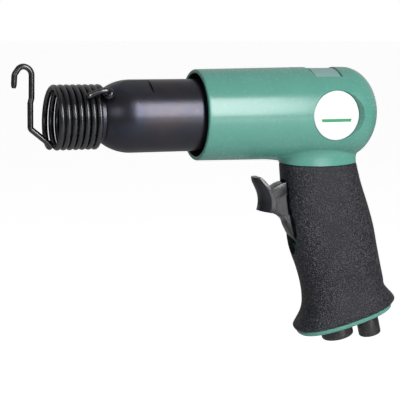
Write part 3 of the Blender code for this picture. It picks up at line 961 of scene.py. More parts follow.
@dataclass(frozen=True)
class PrintedLabel(Finish):
    """A satin label that can carry one plain level band.

    Attributes:
        name: The material's name.
        ground: The label's colour.
        ink: The colour of the band and of the ground's faint fibres.
        band: The band's lower and upper edge, as heights over the barrel's axis in millimetres.
        band_reach: How far the band runs from the label's middle, in millimetres.
        soft: Half the width of the band's soft edges, in millimetres.
    """

    name: str
    ground: Colour
    ink: Colour
    band: Point2 | None = None
    band_reach: float = 8.85
    soft: float = 0.06

    def inked(self, sheet: Sheet, vector: bpy.types.NodeSocket) -> bpy.types.NodeSocket:
        """Return the mask of the band about the label's middle."""
        middle = place(Vector((LABEL_X, 0.0, 0.0)))
        centred = sheet.add("Mapping", vector_type="POINT")
        sheet.feed(centred, Vector=vector, Location=(-middle.x, 0.0, -middle.z))
        parts = sheet.add("SeparateXYZ")
        sheet.join(centred.outputs["Vector"], parts.inputs["Vector"])
        height = parts.outputs["Z"]
        low, high = self.band
        above = sheet.remap(height, ((low - self.soft) * MM, (low + self.soft) * MM), UNIT)
        below = sheet.remap(height, ((high - self.soft) * MM, (high + self.soft) * MM), (1.0, 0.0))
        across = sheet.maths("POWER", parts.outputs["X"], 2.0)
        distance = sheet.maths("SQRT", sheet.maths("ADD", across, sheet.maths("POWER", height, 2.0)), 0.0)
        rim = ((self.band_reach - 0.05) * MM, (self.band_reach + 0.05) * MM)
        within = sheet.remap(distance, rim, (1.0, 0.0))
        return sheet.maths("MULTIPLY", sheet.maths("MULTIPLY", above, below), within)

    def build(self, effects: Effects) -> bpy.types.Material:
        """Build the material from the shared effects."""
        material, sheet, shader, vector = self.start()
        fibre = sheet.noise(vector, 900.0, 4.0, 0.6)
        colour = sheet.blend(sheet.remap(fibre, NOISE_SPAN, (0.0, 0.06)), self.ground, self.ink)
        if self.band is not None:
            colour = sheet.blend(self.inked(sheet, vector), colour, self.ink)
        sheet.join(colour, shader.inputs["Base Color"])
        sheet.join(sheet.remap(fibre, NOISE_SPAN, (0.3, 0.42)), shader.inputs["Roughness"])
        self.bump(sheet, shader, [(fibre, 0.08, 0.03)])
        return material


# ---------------------------------------------------------------- the handle's frame


@dataclass(frozen=True)
class HandleFrame:
    """The leaning handle's own directions and outer stations.

    Attributes:
        lean: The handle's lean in degrees.
        root: Where its axis meets the barrel's axis.
        squareness: The power of the rounded-square sections.
        stations: Front x and z, rear x and z, and half width, from the top down.
        top_dip: How far the top ring dips at the sides.
    """

    lean: float = 14.0
    root: Point2 = (64.3, 0.0)
    squareness: float = 2.35
    stations: tuple[Station, ...] = (
        (49.4, -27.0, 92.1, -26.6, 14.6),
        (50.4, -38.0, 95.4, -38.0, 14.8),
        (51.8, -51.0, 100.0, -50.5, 15.2),
        (53.8, -63.0, 103.7, -62.0, 15.4),
        (56.2, -74.0, 106.4, -74.0, 15.4),
        (60.6, -85.5, 108.9, -84.6, 15.2),
        (63.4, -95.0, 110.6, -91.4, 15.2),
        (64.6, -104.0, 111.4, -95.4, 15.6),
        (63.8, -110.0, 113.8, -98.4, 16.4),
        (61.0, -115.4, 117.0, -101.6, 17.2),
        (59.6, -118.0, 118.1, -103.7, 17.4),
        (60.6, -119.9, 116.9, -105.4, 16.8),
    )
    top_dip: float = 0.9

    @property
    def down(self) -> Vector:
        """Return the direction along the handle."""
        lean = math.radians(self.lean)
        return Vector((math.sin(lean), 0.0, -math.cos(lean)))

    @property
    def back(self) -> Vector:
        """Return the direction square to the handle, towards the rear."""
        lean = math.radians(self.lean)
        return Vector((math.cos(lean), 0.0, math.sin(lean)))

    def point(self, down: float, back: float, y: float = 0.0) -> Vector:
        """Return a point of the handle's frame in the tool frame."""
        return Vector((self.root[0], y, self.root[1])) + self.down * down + self.back * back

    def between(self, low: float, high: float, count: int) -> list[Station]:
        """Read smooth stations between two station numbers.

        Args:
            low: The first station number, which may have a fraction.
            high: The last.
            count: How many to read.

        Returns:
            The stations.
        """
        found = []
        last = len(self.stations) - 1
        for k in range(count):
            where = low + (high - low) * k / (count - 1)
            i = min(int(where), last - 1)
            u = where - i
            four = [self.stations[min(max(j, 0), last)] for j in (i - 1, i, i + 1, i + 2)]
            found.append(tuple(spline_value(*values, u) for values in zip(*four)))
        return found

    def section(
        self, station: Station, inset: float = 0.0, lift: float = 0.0, count: int = 112, dip: float = 0.0
    ) -> list[Vector]:
        """Draw a station's rounded-square ring.

        Args:
            station: The station.
            inset: How far the ring is drawn in all round.
            lift: How far it is lifted along the handle.
            count: Points in the ring.
            dip: How far the ring sinks at the sides.

        Returns:
            The ring's points.
        """
        front = Vector((station[0], 0.0, station[1]))
        rear = Vector((station[2], 0.0, station[3]))
        inwards = (rear - front).normalized() * inset
        front = front + inwards - self.down * lift
        rear = rear - inwards - self.down * lift
        middle = (front + rear) / 2
        reach = (rear - front) / 2
        half = station[4] - inset
        points = []
        for i in range(count):
            angle = 2 * math.pi * i / count
            along = math.copysign(abs(math.cos(angle)) ** (2 / self.squareness), math.cos(angle))
            across = math.copysign(abs(math.sin(angle)) ** (2 / self.squareness), math.sin(angle))
            spot = middle + reach * along + Vector((0.0, half * across, 0.0))
            points.append(spot + self.down * dip * math.sin(angle) ** 2)
        return points


HANDLE = HandleFrame()


def drill(start: Vector, end: Vector, radius: float, segments: int = 32) -> bmesh.types.BMesh:
    """Return a round bar between two points, to cut a hole with."""
    length = (end - start).length
    profile = [(0.0, 0.0), (0.0, radius), (length, radius), (length, 0.0)]
    return turned(profile, start, end - start, segments)


# ---------------------------------------------------------------- sub-assemblies


@dataclass
class Housing:
    """The cast housing: body, neck, handle core and base flange in one piece."""

    mouth_radius: float = 23.7
    body_radius: float = 24.5
    taper_end: float = 60.0
    dome_start: float = 84.0
    dome_length: float = 17.8
    mouth_bore: float = 21.65
    thread_bore: float = 19.0
    thread_front: float = 26.0
    cage_bore_rear: float = 70.0
    chamber_radius: float = 13.0
    chamber_rear: float = 77.0
    pocket_radius: float = 13.2
    pocket_floor: float = 20.2
    pocket_top: float = 30.0
    pocket_spread: float = 3.4
    plate_front: float = 62.3
    plate_rear: float = 77.5
    plate_half_angle: float = 35.0
    plate_floor: float = 23.3
    plate_slope: float = 1.1
    cutter_radius: float = 27.0
    bare_floor: float = -21.7
    neck: Station = (46.0, -16.0, 91.2, -16.0, 13.6)
    fillet_spread: Point3 = (17.0, 3.2, 1.6)
    fillet_drop: Point3 = (2.6, 4.2, 3.0)
    core_inset: float = 2.7
    flange_inset: float = 0.8
    flange_edge: tuple[Point2, ...] = (
        (0.0, 0.25),
        (-0.3, 0.0),
        (-1.3, 0.05),
        (-2.2, 0.4),
        (-2.8, 1.1),
        (-3.15, 2.4),
        (-3.3, 4.5),
    )
    trigger_pocket: tuple[Point2, ...] = (
        (29.0, -40.0),
        (29.0, -13.4),
        (44.0, -12.8),
        (57.0, -15.0),
        (73.0, -12.6),
        (73.0, -40.0),
    )
    segments: int = 144

    def outline(self) -> list[Point2]:
        """Return the body's section from the bore's mouth to the dome's pole."""
        rim = [(self.thread_front, self.mouth_bore, 0.0), (0.0, self.mouth_bore, 0.45)]
        rim += [(0.0, self.mouth_radius, 0.9), (3.0, self.mouth_radius + 0.04, 0.0)]
        points = rounded(rim, 5)[1:]
        slope = (self.body_radius - self.mouth_radius) / self.taper_end
        for x in range(6, int(self.taper_end) - 5, 3):
            points.append((float(x), self.mouth_radius + slope * x))
        for k in range(7):
            u = k / 6
            x = self.taper_end - 6.0 + 12.0 * u
            sag = slope * 3.0 * (1 - u) ** 2
            points.append((x, self.body_radius - sag))
        for x in range(69, int(self.dome_start), 3):
            points.append((float(x), self.body_radius))
        for i in range(26):
            angle = math.pi / 2 * i / 25
            along = self.dome_start + self.dome_length * math.sin(angle)
            points.append((along, self.body_radius * math.cos(angle) if i < 25 else 0.0))
        return points

    def surface_height(self, x: float, y: float) -> float:
        """Return how far below the axis the body's outer surface lies."""
        if x < self.taper_end:
            slope = (self.body_radius - self.mouth_radius) / self.taper_end
            radius = self.mouth_radius + slope * x
        elif x < self.dome_start:
            radius = self.body_radius
        else:
            share = min((x - self.dome_start) / self.dome_length, 0.999)
            radius = self.body_radius * math.sqrt(1 - share**2)
        return -math.sqrt(max(radius**2 - y**2, 1.0))

    def body(self) -> bmesh.types.BMesh:
        """Turn the outer body with its bores open."""
        outer = self.outline()
        inner = [(self.chamber_rear, 0.0), (self.chamber_rear, self.chamber_radius)]
        inner += [(self.cage_bore_rear, self.chamber_radius), (self.cage_bore_rear, self.thread_bore)]
        inner += [(self.thread_front, self.thread_bore), (self.thread_front - 2.6, self.mouth_bore)]
        return turned(inner + outer, Vector(), X_AXIS, self.segments)

    def meeting(self, low: Vector, high: Vector) -> Vector:
        """Return where the line up the neck from low through high meets the body."""
        lean = (high - low) / max(high.z - low.z, 1e-6)
        spot = low.copy()
        for _ in range(12):
            spot = low + lean * (self.surface_height(spot.x, spot.y) - low.z)
        return spot

    def fillet(self, wall: Sequence[Vector], root: Sequence[Vector]) -> list[list[Vector]]:
        """Draw the rings of the rounded joint between the body and the neck.

        Args:
            wall: The handle's top ring.
            root: The neck's ring inside the body.

        Returns:
            The rings, from inside the body down to the neck.
        """
        middle = Vector(((self.neck[0] + self.neck[2]) / 2, 0.0))
        limit = self.body_radius - 1.2
        bends = []
        for low, high in zip(wall, root):
            spot = self.meeting(low, high)
            outwards = Vector((spot.x, spot.y)) - middle
            outwards.normalize()
            front = max(-outwards.x, 0.0) ** 2
            rear = max(outwards.x, 0.0) ** 2
            side = 1.0 - front - rear
            shares = (self.fillet_spread, self.fillet_drop)
            spread, drop = (a * front + b * side + c * rear for a, b, c in shares)
            away_x = spot.x + outwards.x * spread
            away_y = spot.y + outwards.y * spread
            away_y = math.copysign(min(abs(away_y), limit), away_y)
            away = Vector((away_x, away_y, self.surface_height(away_x, away_y)))
            start = away + Vector((0.0, -away.y, -away.z)).normalized() * 0.12
            end = spot + (low - spot) * min(drop / max((low - spot).length, 1e-6), 0.82)
            bends.append((start, spot, end))
        rings = [[start + Vector((0.0, -start.y * 0.35, 7.0)) for start, _, _ in bends]]
        steps = 9
        for k in range(steps + 1):
            u = k / steps
            rings.append([a * (1 - u) ** 2 + c * 2 * u * (1 - u) + b * u**2 for a, c, b in bends])
        return rings

    def handle(self) -> bmesh.types.BMesh:
        """Loft the neck with its fillet, the handle's core and the base flange."""
        top = HANDLE.stations[0]
        wall = HANDLE.section(top, lift=0.3, dip=HANDLE.top_dip)
        rings = self.fillet(wall, HANDLE.section(self.neck))
        rings.append(wall)
        rings.append(HANDLE.section(top, self.core_inset, 0.3, dip=HANDLE.top_dip))
        rings += [HANDLE.section(row, self.core_inset) for row in HANDLE.between(1.0, 6.0, 16)]
        rings.append(HANDLE.section(HANDLE.stations[6], self.core_inset, -10.0))
        flange = HANDLE.stations[-1]
        rings.append(HANDLE.section(flange, self.core_inset + 3.5, -0.3))
        for lift, inset in self.flange_edge:
            rings.append(HANDLE.section(flange, self.flange_inset + inset, lift - 0.3))
        return loft(rings)

    def plate_recess(self) -> bmesh.types.BMesh:
        """Return the shell that cuts the recess on top, with sloping ends."""
        ends = [(self.plate_front, self.plate_front - self.plate_slope)]
        ends.append((self.plate_rear, self.plate_rear + self.plate_slope))
        radii = (self.plate_floor, self.cutter_radius)
        return curved_slab(ends, self.plate_half_angle, radii, 20, flare=1.04)

    def build(self, paint: bpy.types.Material, bare: bpy.types.Material) -> None:
        """Build the housing.

        Args:
            paint: The enamel outside.
            bare: The bare casting inside its bores.
        """
        changes = [(Joining.ADD, self.handle())]
        centre = X_AXIS * LABEL_X
        for side in Side:
            outwards = Y_AXIS * side.value
            cone = [(self.pocket_floor, 0.0), (self.pocket_floor, self.pocket_radius)]
            cone += [(self.pocket_top, self.pocket_radius + self.pocket_spread), (self.pocket_top, 0.0)]
            changes.append((Joining.CUT, turned(cone, centre, outwards, 96)))
        changes.append((Joining.CUT, self.plate_recess()))
        flat = [(HANDLE.point(*corner).x, HANDLE.point(*corner).z) for corner in self.trigger_pocket]
        changes.append((Joining.CUT, plate(flat, 4.8)))
        for start, end, radius in (
            (HANDLE.point(126.0, INLET_BACK), HANDLE.point(98.0, INLET_BACK), 8.3),
            (HANDLE.point(126.0, REGULATOR_BACK), HANDLE.point(82.0, REGULATOR_BACK), 4.3),
            (HANDLE.point(46.0, -16.0), HANDLE.point(46.0, -7.0), 2.1),
            (Vector((36.0, 0.0, -30.0)), Vector((36.0, 0.0, -18.0)), 2.3),
        ):
            changes.append((Joining.CUT, drill(start, end, radius)))
        bm = joined(self.body(), changes)
        limit = self.mouth_bore + 0.08

        def painted(face: bmesh.types.BMFace) -> int:
            """Tell bare bore faces from painted ones."""
            spot = face.calc_center_median()
            inside = math.hypot(spot.y, spot.z) < limit and 0.3 < spot.x < self.chamber_rear + 1.0
            facing = spot.y * face.normal.y + spot.z * face.normal.z < 0.3
            return int(inside and facing and spot.z > self.bare_floor)

        Piece("housing_shell", "housing", Body.BODY, "green_paint", (paint, bare)).finish(bm, painted)


@dataclass
class Barrel:
    """The barrel with its nose, ogive, spanner flats and exhaust ports."""

    shank_radius: float = 5.1
    nose_radius: float = 13.2
    nose_rear: float = -50.0
    ogive_radius: float = 24.2
    ogive_rear: float = -35.0
    radius: float = 18.7
    rear: float = 50.0
    bore_radius: float = 9.5
    bore_front: float = -44.0
    flat_distance: float = 17.6
    flat_rear: float = -26.0
    flat_angle: float = 60.0
    port_x: float = 12.0
    port_radius: float = 2.4
    segments: int = 128

    def profile(self) -> list[Point2]:
        """Return the barrel's section."""
        rim = [(-60.0, self.shank_radius, 0.0), (BARREL_FRONT, self.shank_radius, 0.6)]
        rim += [(BARREL_FRONT, self.nose_radius, 0.8), (-60.0, self.nose_radius, 0.0)]
        points = rounded(rim, 4)[1:]
        points.append((self.nose_rear - 0.3, self.nose_radius))
        steps = 16
        for i in range(steps + 1):
            x = self.nose_rear + (self.ogive_rear - self.nose_rear) * i / steps
            drop = self.ogive_radius - math.sqrt(self.ogive_radius**2 - (self.ogive_rear - x) ** 2)
            points.append((x, self.radius - drop))
        points += [(float(x), self.radius) for x in range(-31, 48, 4)]
        points += [(self.rear - 0.6, self.radius), (self.rear, self.radius - 0.6)]
        points += [(self.rear, self.bore_radius), (self.bore_front, self.bore_radius)]
        points += [(self.bore_front - 4.0, self.shank_radius)]
        return points

    def build(self, steel: bpy.types.Material) -> None:
        """Build the barrel in its steel."""
        changes = []
        for sign in (1.0, -1.0):
            lean = math.radians(self.flat_angle)
            outwards = Vector((0.0, -math.cos(lean), math.sin(lean))) * sign
            length = self.flat_rear - BARREL_FRONT + 2.0
            middle = outwards * (self.flat_distance + 5.0) + X_AXIS * (self.flat_rear - length / 2)
            turn = Matrix((outwards.cross(X_AXIS), X_AXIS, outwards)).transposed().to_4x4()
            changes.append((Joining.CUT, block((30.0, length, 10.0), Matrix.Translation(middle) @ turn)))
        middle = X_AXIS * self.port_x
        for axis in (Y_AXIS, Z_AXIS):
            port = drill(middle - axis * 22, middle + axis * 22, self.port_radius, 24)
            changes.append((Joining.CUT, port))
        bm = joined(turned(self.profile(), Vector(), X_AXIS, self.segments), changes)
        Piece("blued_barrel", "barrel", Body.BODY, "blued_steel", (steel,), 24.0, 0.3).finish(bm)


@dataclass
class Retainer:
    """The beehive retainer spring with its hook in front and its tab at the rear."""

    wire_radius: float = 1.48
    coil_radius: float = 15.06
    pitch: float = 3.2
    first_top: float = -74.35
    tilt: float = 0.4
    first_turn: float = -0.42
    last_turn: float = 7.08
    lean_forward: float = 0.25
    lean_starts: float = -0.12
    lean_turns: float = 0.3
    hook: tuple[Point3, ...] = (
        (-94.15, 14.8, 0.0),
        (-93.7, 21.6, 3.0),
        (-90.9, 25.6, 3.4),
        (-85.1, 25.3, 4.3),
        (-85.35, 9.9, 1.0),
        (-86.0, 7.4, 1.0),
        (-86.1, -5.4, 2.1),
        (-75.9, -13.8, 0.0),
    )
    leaving: tuple[Point3, ...] = (
        (-75.9, 0.0, -13.8),
        (-76.15, 1.6, -14.9),
        (-76.3, 4.2, -14.7),
    )
    tab: tuple[Point3, ...] = (
        (0.105, 0.35, 15.1),
        (0.126, 0.8, 15.6),
        (0.140, 1.6, 16.9),
        (0.139, 2.6, 18.1),
        (0.127, 3.0, 18.7),
        (0.115, 1.6, 18.6),
        (0.119, -2.0, 18.45),
        (0.133, -6.2, 18.4),
        (0.147, -9.6, 18.35),
    )

    def round_point(self, turn: float, x: float, radius: float) -> Vector:
        """Return the point at a turn about the barrel's axis; turn 0 is the top."""
        angle = 2 * math.pi * turn
        return Vector((x, -radius * math.sin(angle), radius * math.cos(angle)))

    def coil_x(self, turn: float) -> float:
        """Return how far back the coil is at a turn; its planes tilt and its start leans forward."""
        angle = 2 * math.pi * turn
        tilted = self.tilt * (math.sin(angle) + math.cos(angle))
        lean = self.lean_forward * min(max((self.lean_starts - turn) / self.lean_turns, 0.0), 1.0)
        return self.first_top + self.pitch * turn + tilted - lean

    def centre_line(self) -> list[Vector]:
        """Return the wire's centre line from the hook's tip to the tab's end."""
        corners = [Vector((x, 0.0, z)) for x, z in rounded(self.hook, 10)]
        path: list[Vector] = []
        for start, end in zip(corners, corners[1:]):
            count = max(1, round((end - start).length / 0.9))
            path += [start.lerp(end, k / count) for k in range(count)]
        steps = 52
        count = round((self.last_turn - self.first_turn) * steps)
        coil = []
        for i in range(count + 1):
            turn = self.first_turn + (self.last_turn - self.first_turn) * i / count
            coil.append(self.round_point(turn, self.coil_x(turn), self.coil_radius))
        joint = smooth_path([Vector(spot) for spot in self.leaving] + coil[:1], 0.8)
        path += joint[:-1] + coil
        rear = self.coil_x(self.last_turn)
        corners = [self.round_point(turn, rear + x, radius) for turn, x, radius in self.tab]
        return path + smooth_path(corners, 0.6)

    def build(self, wire: bpy.types.Material) -> None:
        """Build the spring in its wire."""
        path = self.centre_line()
        radii = [self.wire_radius] * len(path)
        for i, share in enumerate((0.62, 0.88, 0.97)):
            radii[i] *= share
            radii[-1 - i] *= share
        bm = swept(path, radii, 18)
        Piece("coil_retainer", "retainer_spring", Body.RETAINER, "spring_wire", (wire,), 50.0).finish(bm)


@dataclass
class Trigger:
    """The trigger: a half-round finger pad on a thin web."""

    pivot: Point3 = (62.6, 0.0, -69.6)
    half_web: float = 4.2
    boss_radius: float = 4.0
    pin_radius: float = 1.8
    dish: Point3 = (51.2, 0.0, -49.4)
    dish_radius: float = 5.6
    dish_depth: float = 0.7
    fullness: float = 0.62
    pad: tuple[Station, ...] = (
        (32.6, -33.7, 36.6, -33.6, 4.6),
        (33.2, -36.2, 39.6, -36.9, 6.0),
        (34.6, -39.0, 41.8, -40.0, 6.5),
        (36.0, -42.0, 43.2, -43.2, 6.7),
        (36.8, -45.6, 44.2, -46.8, 6.7),
        (36.7, -49.0, 44.4, -50.2, 6.7),
        (36.0, -51.7, 44.1, -53.1, 6.5),
    )

    def pad_body(self) -> bmesh.types.BMesh:
        """Loft the finger pad."""
        rows = [Vector(row[:3]) for row in self.pad]
        tails = [Vector(row[2:]) for row in self.pad]
        count = 26
        rings = []
        for k in range(count):
            where = (len(rows) - 1) * k / (count - 1)
            i = min(int(where), len(rows) - 2)
            u = where - i
            row = []
            for source in (rows, tails):
                after = source[min(i + 2, len(rows) - 1)]
                row.append(spline_value(source[max(i - 1, 0)], source[i], source[i + 1], after, u))
            front_x, front_z = row[0].x, row[0].y
            back_x, back_z, half = row[1]
            points = []
            steps = 36
            for j in range(steps + 1):
                angle = math.pi * j / steps - math.pi / 2
                share = math.cos(angle) ** self.fullness if j not in (0, steps) else 0.0
                x = back_x + (front_x - back_x) * share
                z = back_z + (front_z - back_z) * share
                points.append(Vector((x, half * math.sin(angle), z)))
            rings.append(points)
        return loft(rings)

    def web_outline(self) -> list[Point2]:
        """Return the web's outline with its boss about the pin."""
        top = [(40.5, -38.5, 0.0), (44.0, -39.4, 1.5), (47.0, -37.7, 3.0), (50.0, -36.7, 5.0)]
        top += [(52.6, -36.9, 3.0), (55.2, -40.4, 3.0), (58.4, -46.5, 5.0), (58.9, -50.5, 5.0)]
        top += [(60.0, -57.0, 8.0), (65.0, -66.4, 0.0)]
        outline = rounded(top, 4)
        for k in range(21):
            angle = math.radians(35.0 - 200.0 * k / 20)
            x = self.pivot[0] + self.boss_radius * math.cos(angle)
            outline.append((x, self.pivot[2] + self.boss_radius * math.sin(angle)))
        low = [(54.6, -65.4, 0.0), (52.2, -60.9, 5.0), (51.0, -57.4, 4.0), (48.4, -55.3, 4.0)]
        low += [(45.0, -53.9, 4.0), (41.0, -52.0, 0.0)]
        return outline + rounded(low, 4)

    def build(self, black: bpy.types.Material) -> None:
        """Build the trigger in its black moulding."""
        pivot = Vector(self.pivot)
        changes = [(Joining.ADD, plate(self.web_outline(), self.half_web, 0.35))]
        dish = Vector(self.dish)
        for side in Side:
            outwards = Y_AXIS * side.value
            floor = dish + outwards * (self.half_web - self.dish_depth)
            changes.append((Joining.CUT, drill(floor, dish + outwards * 7, self.dish_radius, 64)))
        changes.append((Joining.CUT, drill(pivot - Y_AXIS * 8, pivot + Y_AXIS * 8, self.pin_radius)))
        bm = joined(self.pad_body(), changes)
        Piece("finger_trigger", "trigger", Body.TRIGGER, "trigger_black", (black,), 30.0, 0.4).finish(bm)


@dataclass
class Grip:
    """The moulded sleeve over the handle's core, with its slot for the trigger."""

    wall: float = 2.4
    slot: tuple[Point2, ...] = (
        (31.0, 4.8),
        (33.0, 5.4),
        (46.0, 5.6),
        (54.0, 7.4),
        (62.0, 7.2),
        (69.0, 4.8),
        (73.0, 1.8),
    )

    def build(self, rubber: bpy.types.Material) -> None:
        """Build the sleeve in its rubber."""
        top = HANDLE.stations[0]
        dip = HANDLE.top_dip
        outer = [HANDLE.section(top, 0.55, 0.0, dip=dip), HANDLE.section(top, 0.2, -0.12, dip=dip)]
        outer.append(HANDLE.section(top, 0.0, -0.5, dip=dip))
        for row in HANDLE.between(0.12, 10.0, 62):
            fade = max(0.0, 1.0 - (-27.0 - row[1]) / 9.0)
            outer.append(HANDLE.section(row, dip=dip * fade))
        outer += [HANDLE.section(row) for row in HANDLE.between(10.25, 11.0, 4)]
        outer.append(HANDLE.section(HANDLE.stations[-1], 0.5))
        inner = [HANDLE.section(top, self.wall, 0.0, dip=dip)]
        inner += [HANDLE.section(row, self.wall) for row in HANDLE.between(1.0, 6.0, 16)]
        inner.append(HANDLE.section(HANDLE.stations[6], self.wall, -10.0))
        inner.append(HANDLE.section(HANDLE.stations[-1], self.wall + 3.5))
        sleeve = loft(outer + inner[::-1], closed=True)
        outline = list(self.slot) + [(down, -y) for down, y in reversed(self.slot)]
        rows = [[HANDLE.point(down, back, y) for down, y in outline] for back in (-45.0, -12.0)]
        bm = joined(sleeve, [(Joining.CUT, loft(rows))])
        Piece("rubber_grip", "grip_sleeve", Body.BODY, "grip_rubber", (rubber,), 40.0).finish(bm)


@dataclass
class AirFittings:
    """The air inlet bushing and the regulator's knob under the handle."""

    thread_pitch: float = 1.41
    thread_mouth: float = 125.0
    thread_foot: float = 109.5
    crest_radius: float = 5.15
    groove_radius: float = 5.95
    knob_end: float = 131.4
    slot_size: Point3 = (14.0, 1.3, 2.4)

    def build(self, oxide: bpy.types.Material) -> None:
        """Build both fittings in their black oxide."""
        corners = [(108.0, 5.6, 0.0), (106.0, 4.2, 0.0), (100.0, 4.2, 0.0), (100.0, 7.6, 0.0)]
        corners += [(100.8, 8.0, 0.0), (120.6, 8.0, 0.0), (120.6, 8.9, 0.15), (126.0, 8.9, 0.9)]
        corners += [(126.0, 6.5, 0.25), (self.thread_mouth, 6.0, 0.0)]
        profile = rounded(corners, 4)
        along = self.thread_mouth
        while along > self.thread_foot:
            profile.append((along - self.thread_pitch / 2, self.crest_radius))
            profile.append((along - self.thread_pitch, self.groove_radius))
            along -= self.thread_pitch
        bushing = turned(profile, HANDLE.point(0.0, INLET_BACK), HANDLE.down, 72)
        Piece("air_inlet", "inlet_bushing", Body.BODY, "black_oxide", (oxide,), 32.0, 0.3).finish(bushing)

        knob = [(84.6, 0.0, 0.0), (88.0, 1.7, 0.0), (92.0, 1.9, 0.0), (94.0, 4.0, 0.0), (102.6, 4.0, 0.0)]
        knob += [(102.6, 3.0, 0.0), (105.4, 3.0, 0.0), (105.4, 4.0, 0.0), (109.4, 4.0, 0.0)]
        knob += [(109.4, 3.0, 0.0), (111.6, 3.0, 0.0), (111.6, 4.0, 0.0), (121.8, 4.0, 0.0)]
        knob += [(121.8, 6.2, 0.4), (self.knob_end, 6.2, 0.9), (self.knob_end, 0.0, 0.0)]
        base = HANDLE.point(0.0, REGULATOR_BACK)
        bm = turned(rounded(knob, 4), base, HANDLE.down, 64)
        slot = block(self.slot_size, stand(base + HANDLE.down * self.knob_end, HANDLE.down))
        bm = joined(bm, [(Joining.CUT, slot)])
        row = ("regulator_knob", "regulator_valve", Body.REGULATOR, "black_oxide")
        Piece(*row, (oxide,), 32.0, 0.3).finish(bm)


@dataclass
class Labels:
    """The two round side labels and the curved plate on top."""

    radius: float = 12.9
    floor: float = 20.5
    thickness: float = 0.5
    plate_front: float = 62.7
    plate_rear: float = 77.1
    plate_half_angle: float = 34.0
    plate_radius: float = 23.6
    plate_thickness: float = 0.35

    def build(self, white: bpy.types.Material, silver: bpy.types.Material) -> None:
        """Build the labels.

        Args:
            white: The side labels' finish.
            silver: The top plate's finish.
        """
        for side in Side:
            start, end = self.floor, self.floor + self.thickness
            disc = [(start, 0.0, 0.0), (start, self.radius, 0.0), (end - 0.05, self.radius, 0.3)]
            disc += [(end, self.radius - 2.0, 0.0), (end, 0.0, 0.0)]
            bm = turned(rounded(disc, 4), X_AXIS * LABEL_X, Y_AXIS * side.value, 96)
            name = side.name.lower()
            row = (f"round_label_{name}", f"side_label_{name}", Body.BODY, "white_label")
            Piece(*row, (white,)).finish(bm)
        ends = [(x, x) for x in (self.plate_front, self.plate_rear)]
        radii = (self.plate_radius, self.plate_radius + self.plate_thickness)
        slab = curved_slab(ends, self.plate_half_angle, radii, 24)
        Piece("top_plate", "top_label", Body.BODY, "silver_label", (silver,), 30.0).finish(slab)


@dataclass
class InnerWorks:
    """The inner CAD nodes, which keep their shapes and get their finishes here."""

    steel: tuple[str, ...] = ("valve_cage_front", "valve_cage_rear", "barrel_set_screw", "throttle_plug")
    bright: tuple[str, ...] = (
        "piston",
        "valve_dowel",
        "cycle_valve",
        "trigger_pin",
        "throttle_stem",
        "throttle_spring",
        "regulator_pin",
    )
    brass: tuple[str, ...] = ("throttle_bushing", "throttle_seat", "cross_port_plug", "inlet_strainer")
    rubber: tuple[str, ...] = (
        "cage_cushion",
        "throttle_poppet",
        "stem_o_ring",
        "inlet_o_ring",
        "regulator_o_ring",
    )

    def dress(self, finishes: dict[str, bpy.types.Material]) -> None:
        """Give each inner node its finish.

        Args:
            finishes: Materials by group name.
        """
        groups = {"steel": self.steel, "bright": self.bright, "brass": self.brass, "rubber": self.rubber}
        for group, nodes in groups.items():
            for node in nodes:
                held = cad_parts[node].data.materials
                if len(held):
                    for i in range(len(held)):
                        held[i] = finishes[group]
                else:
                    held.append(finishes[group])
                LOG.info("%s: %s", node, group)


# ---------------------------------------------------------------- studio


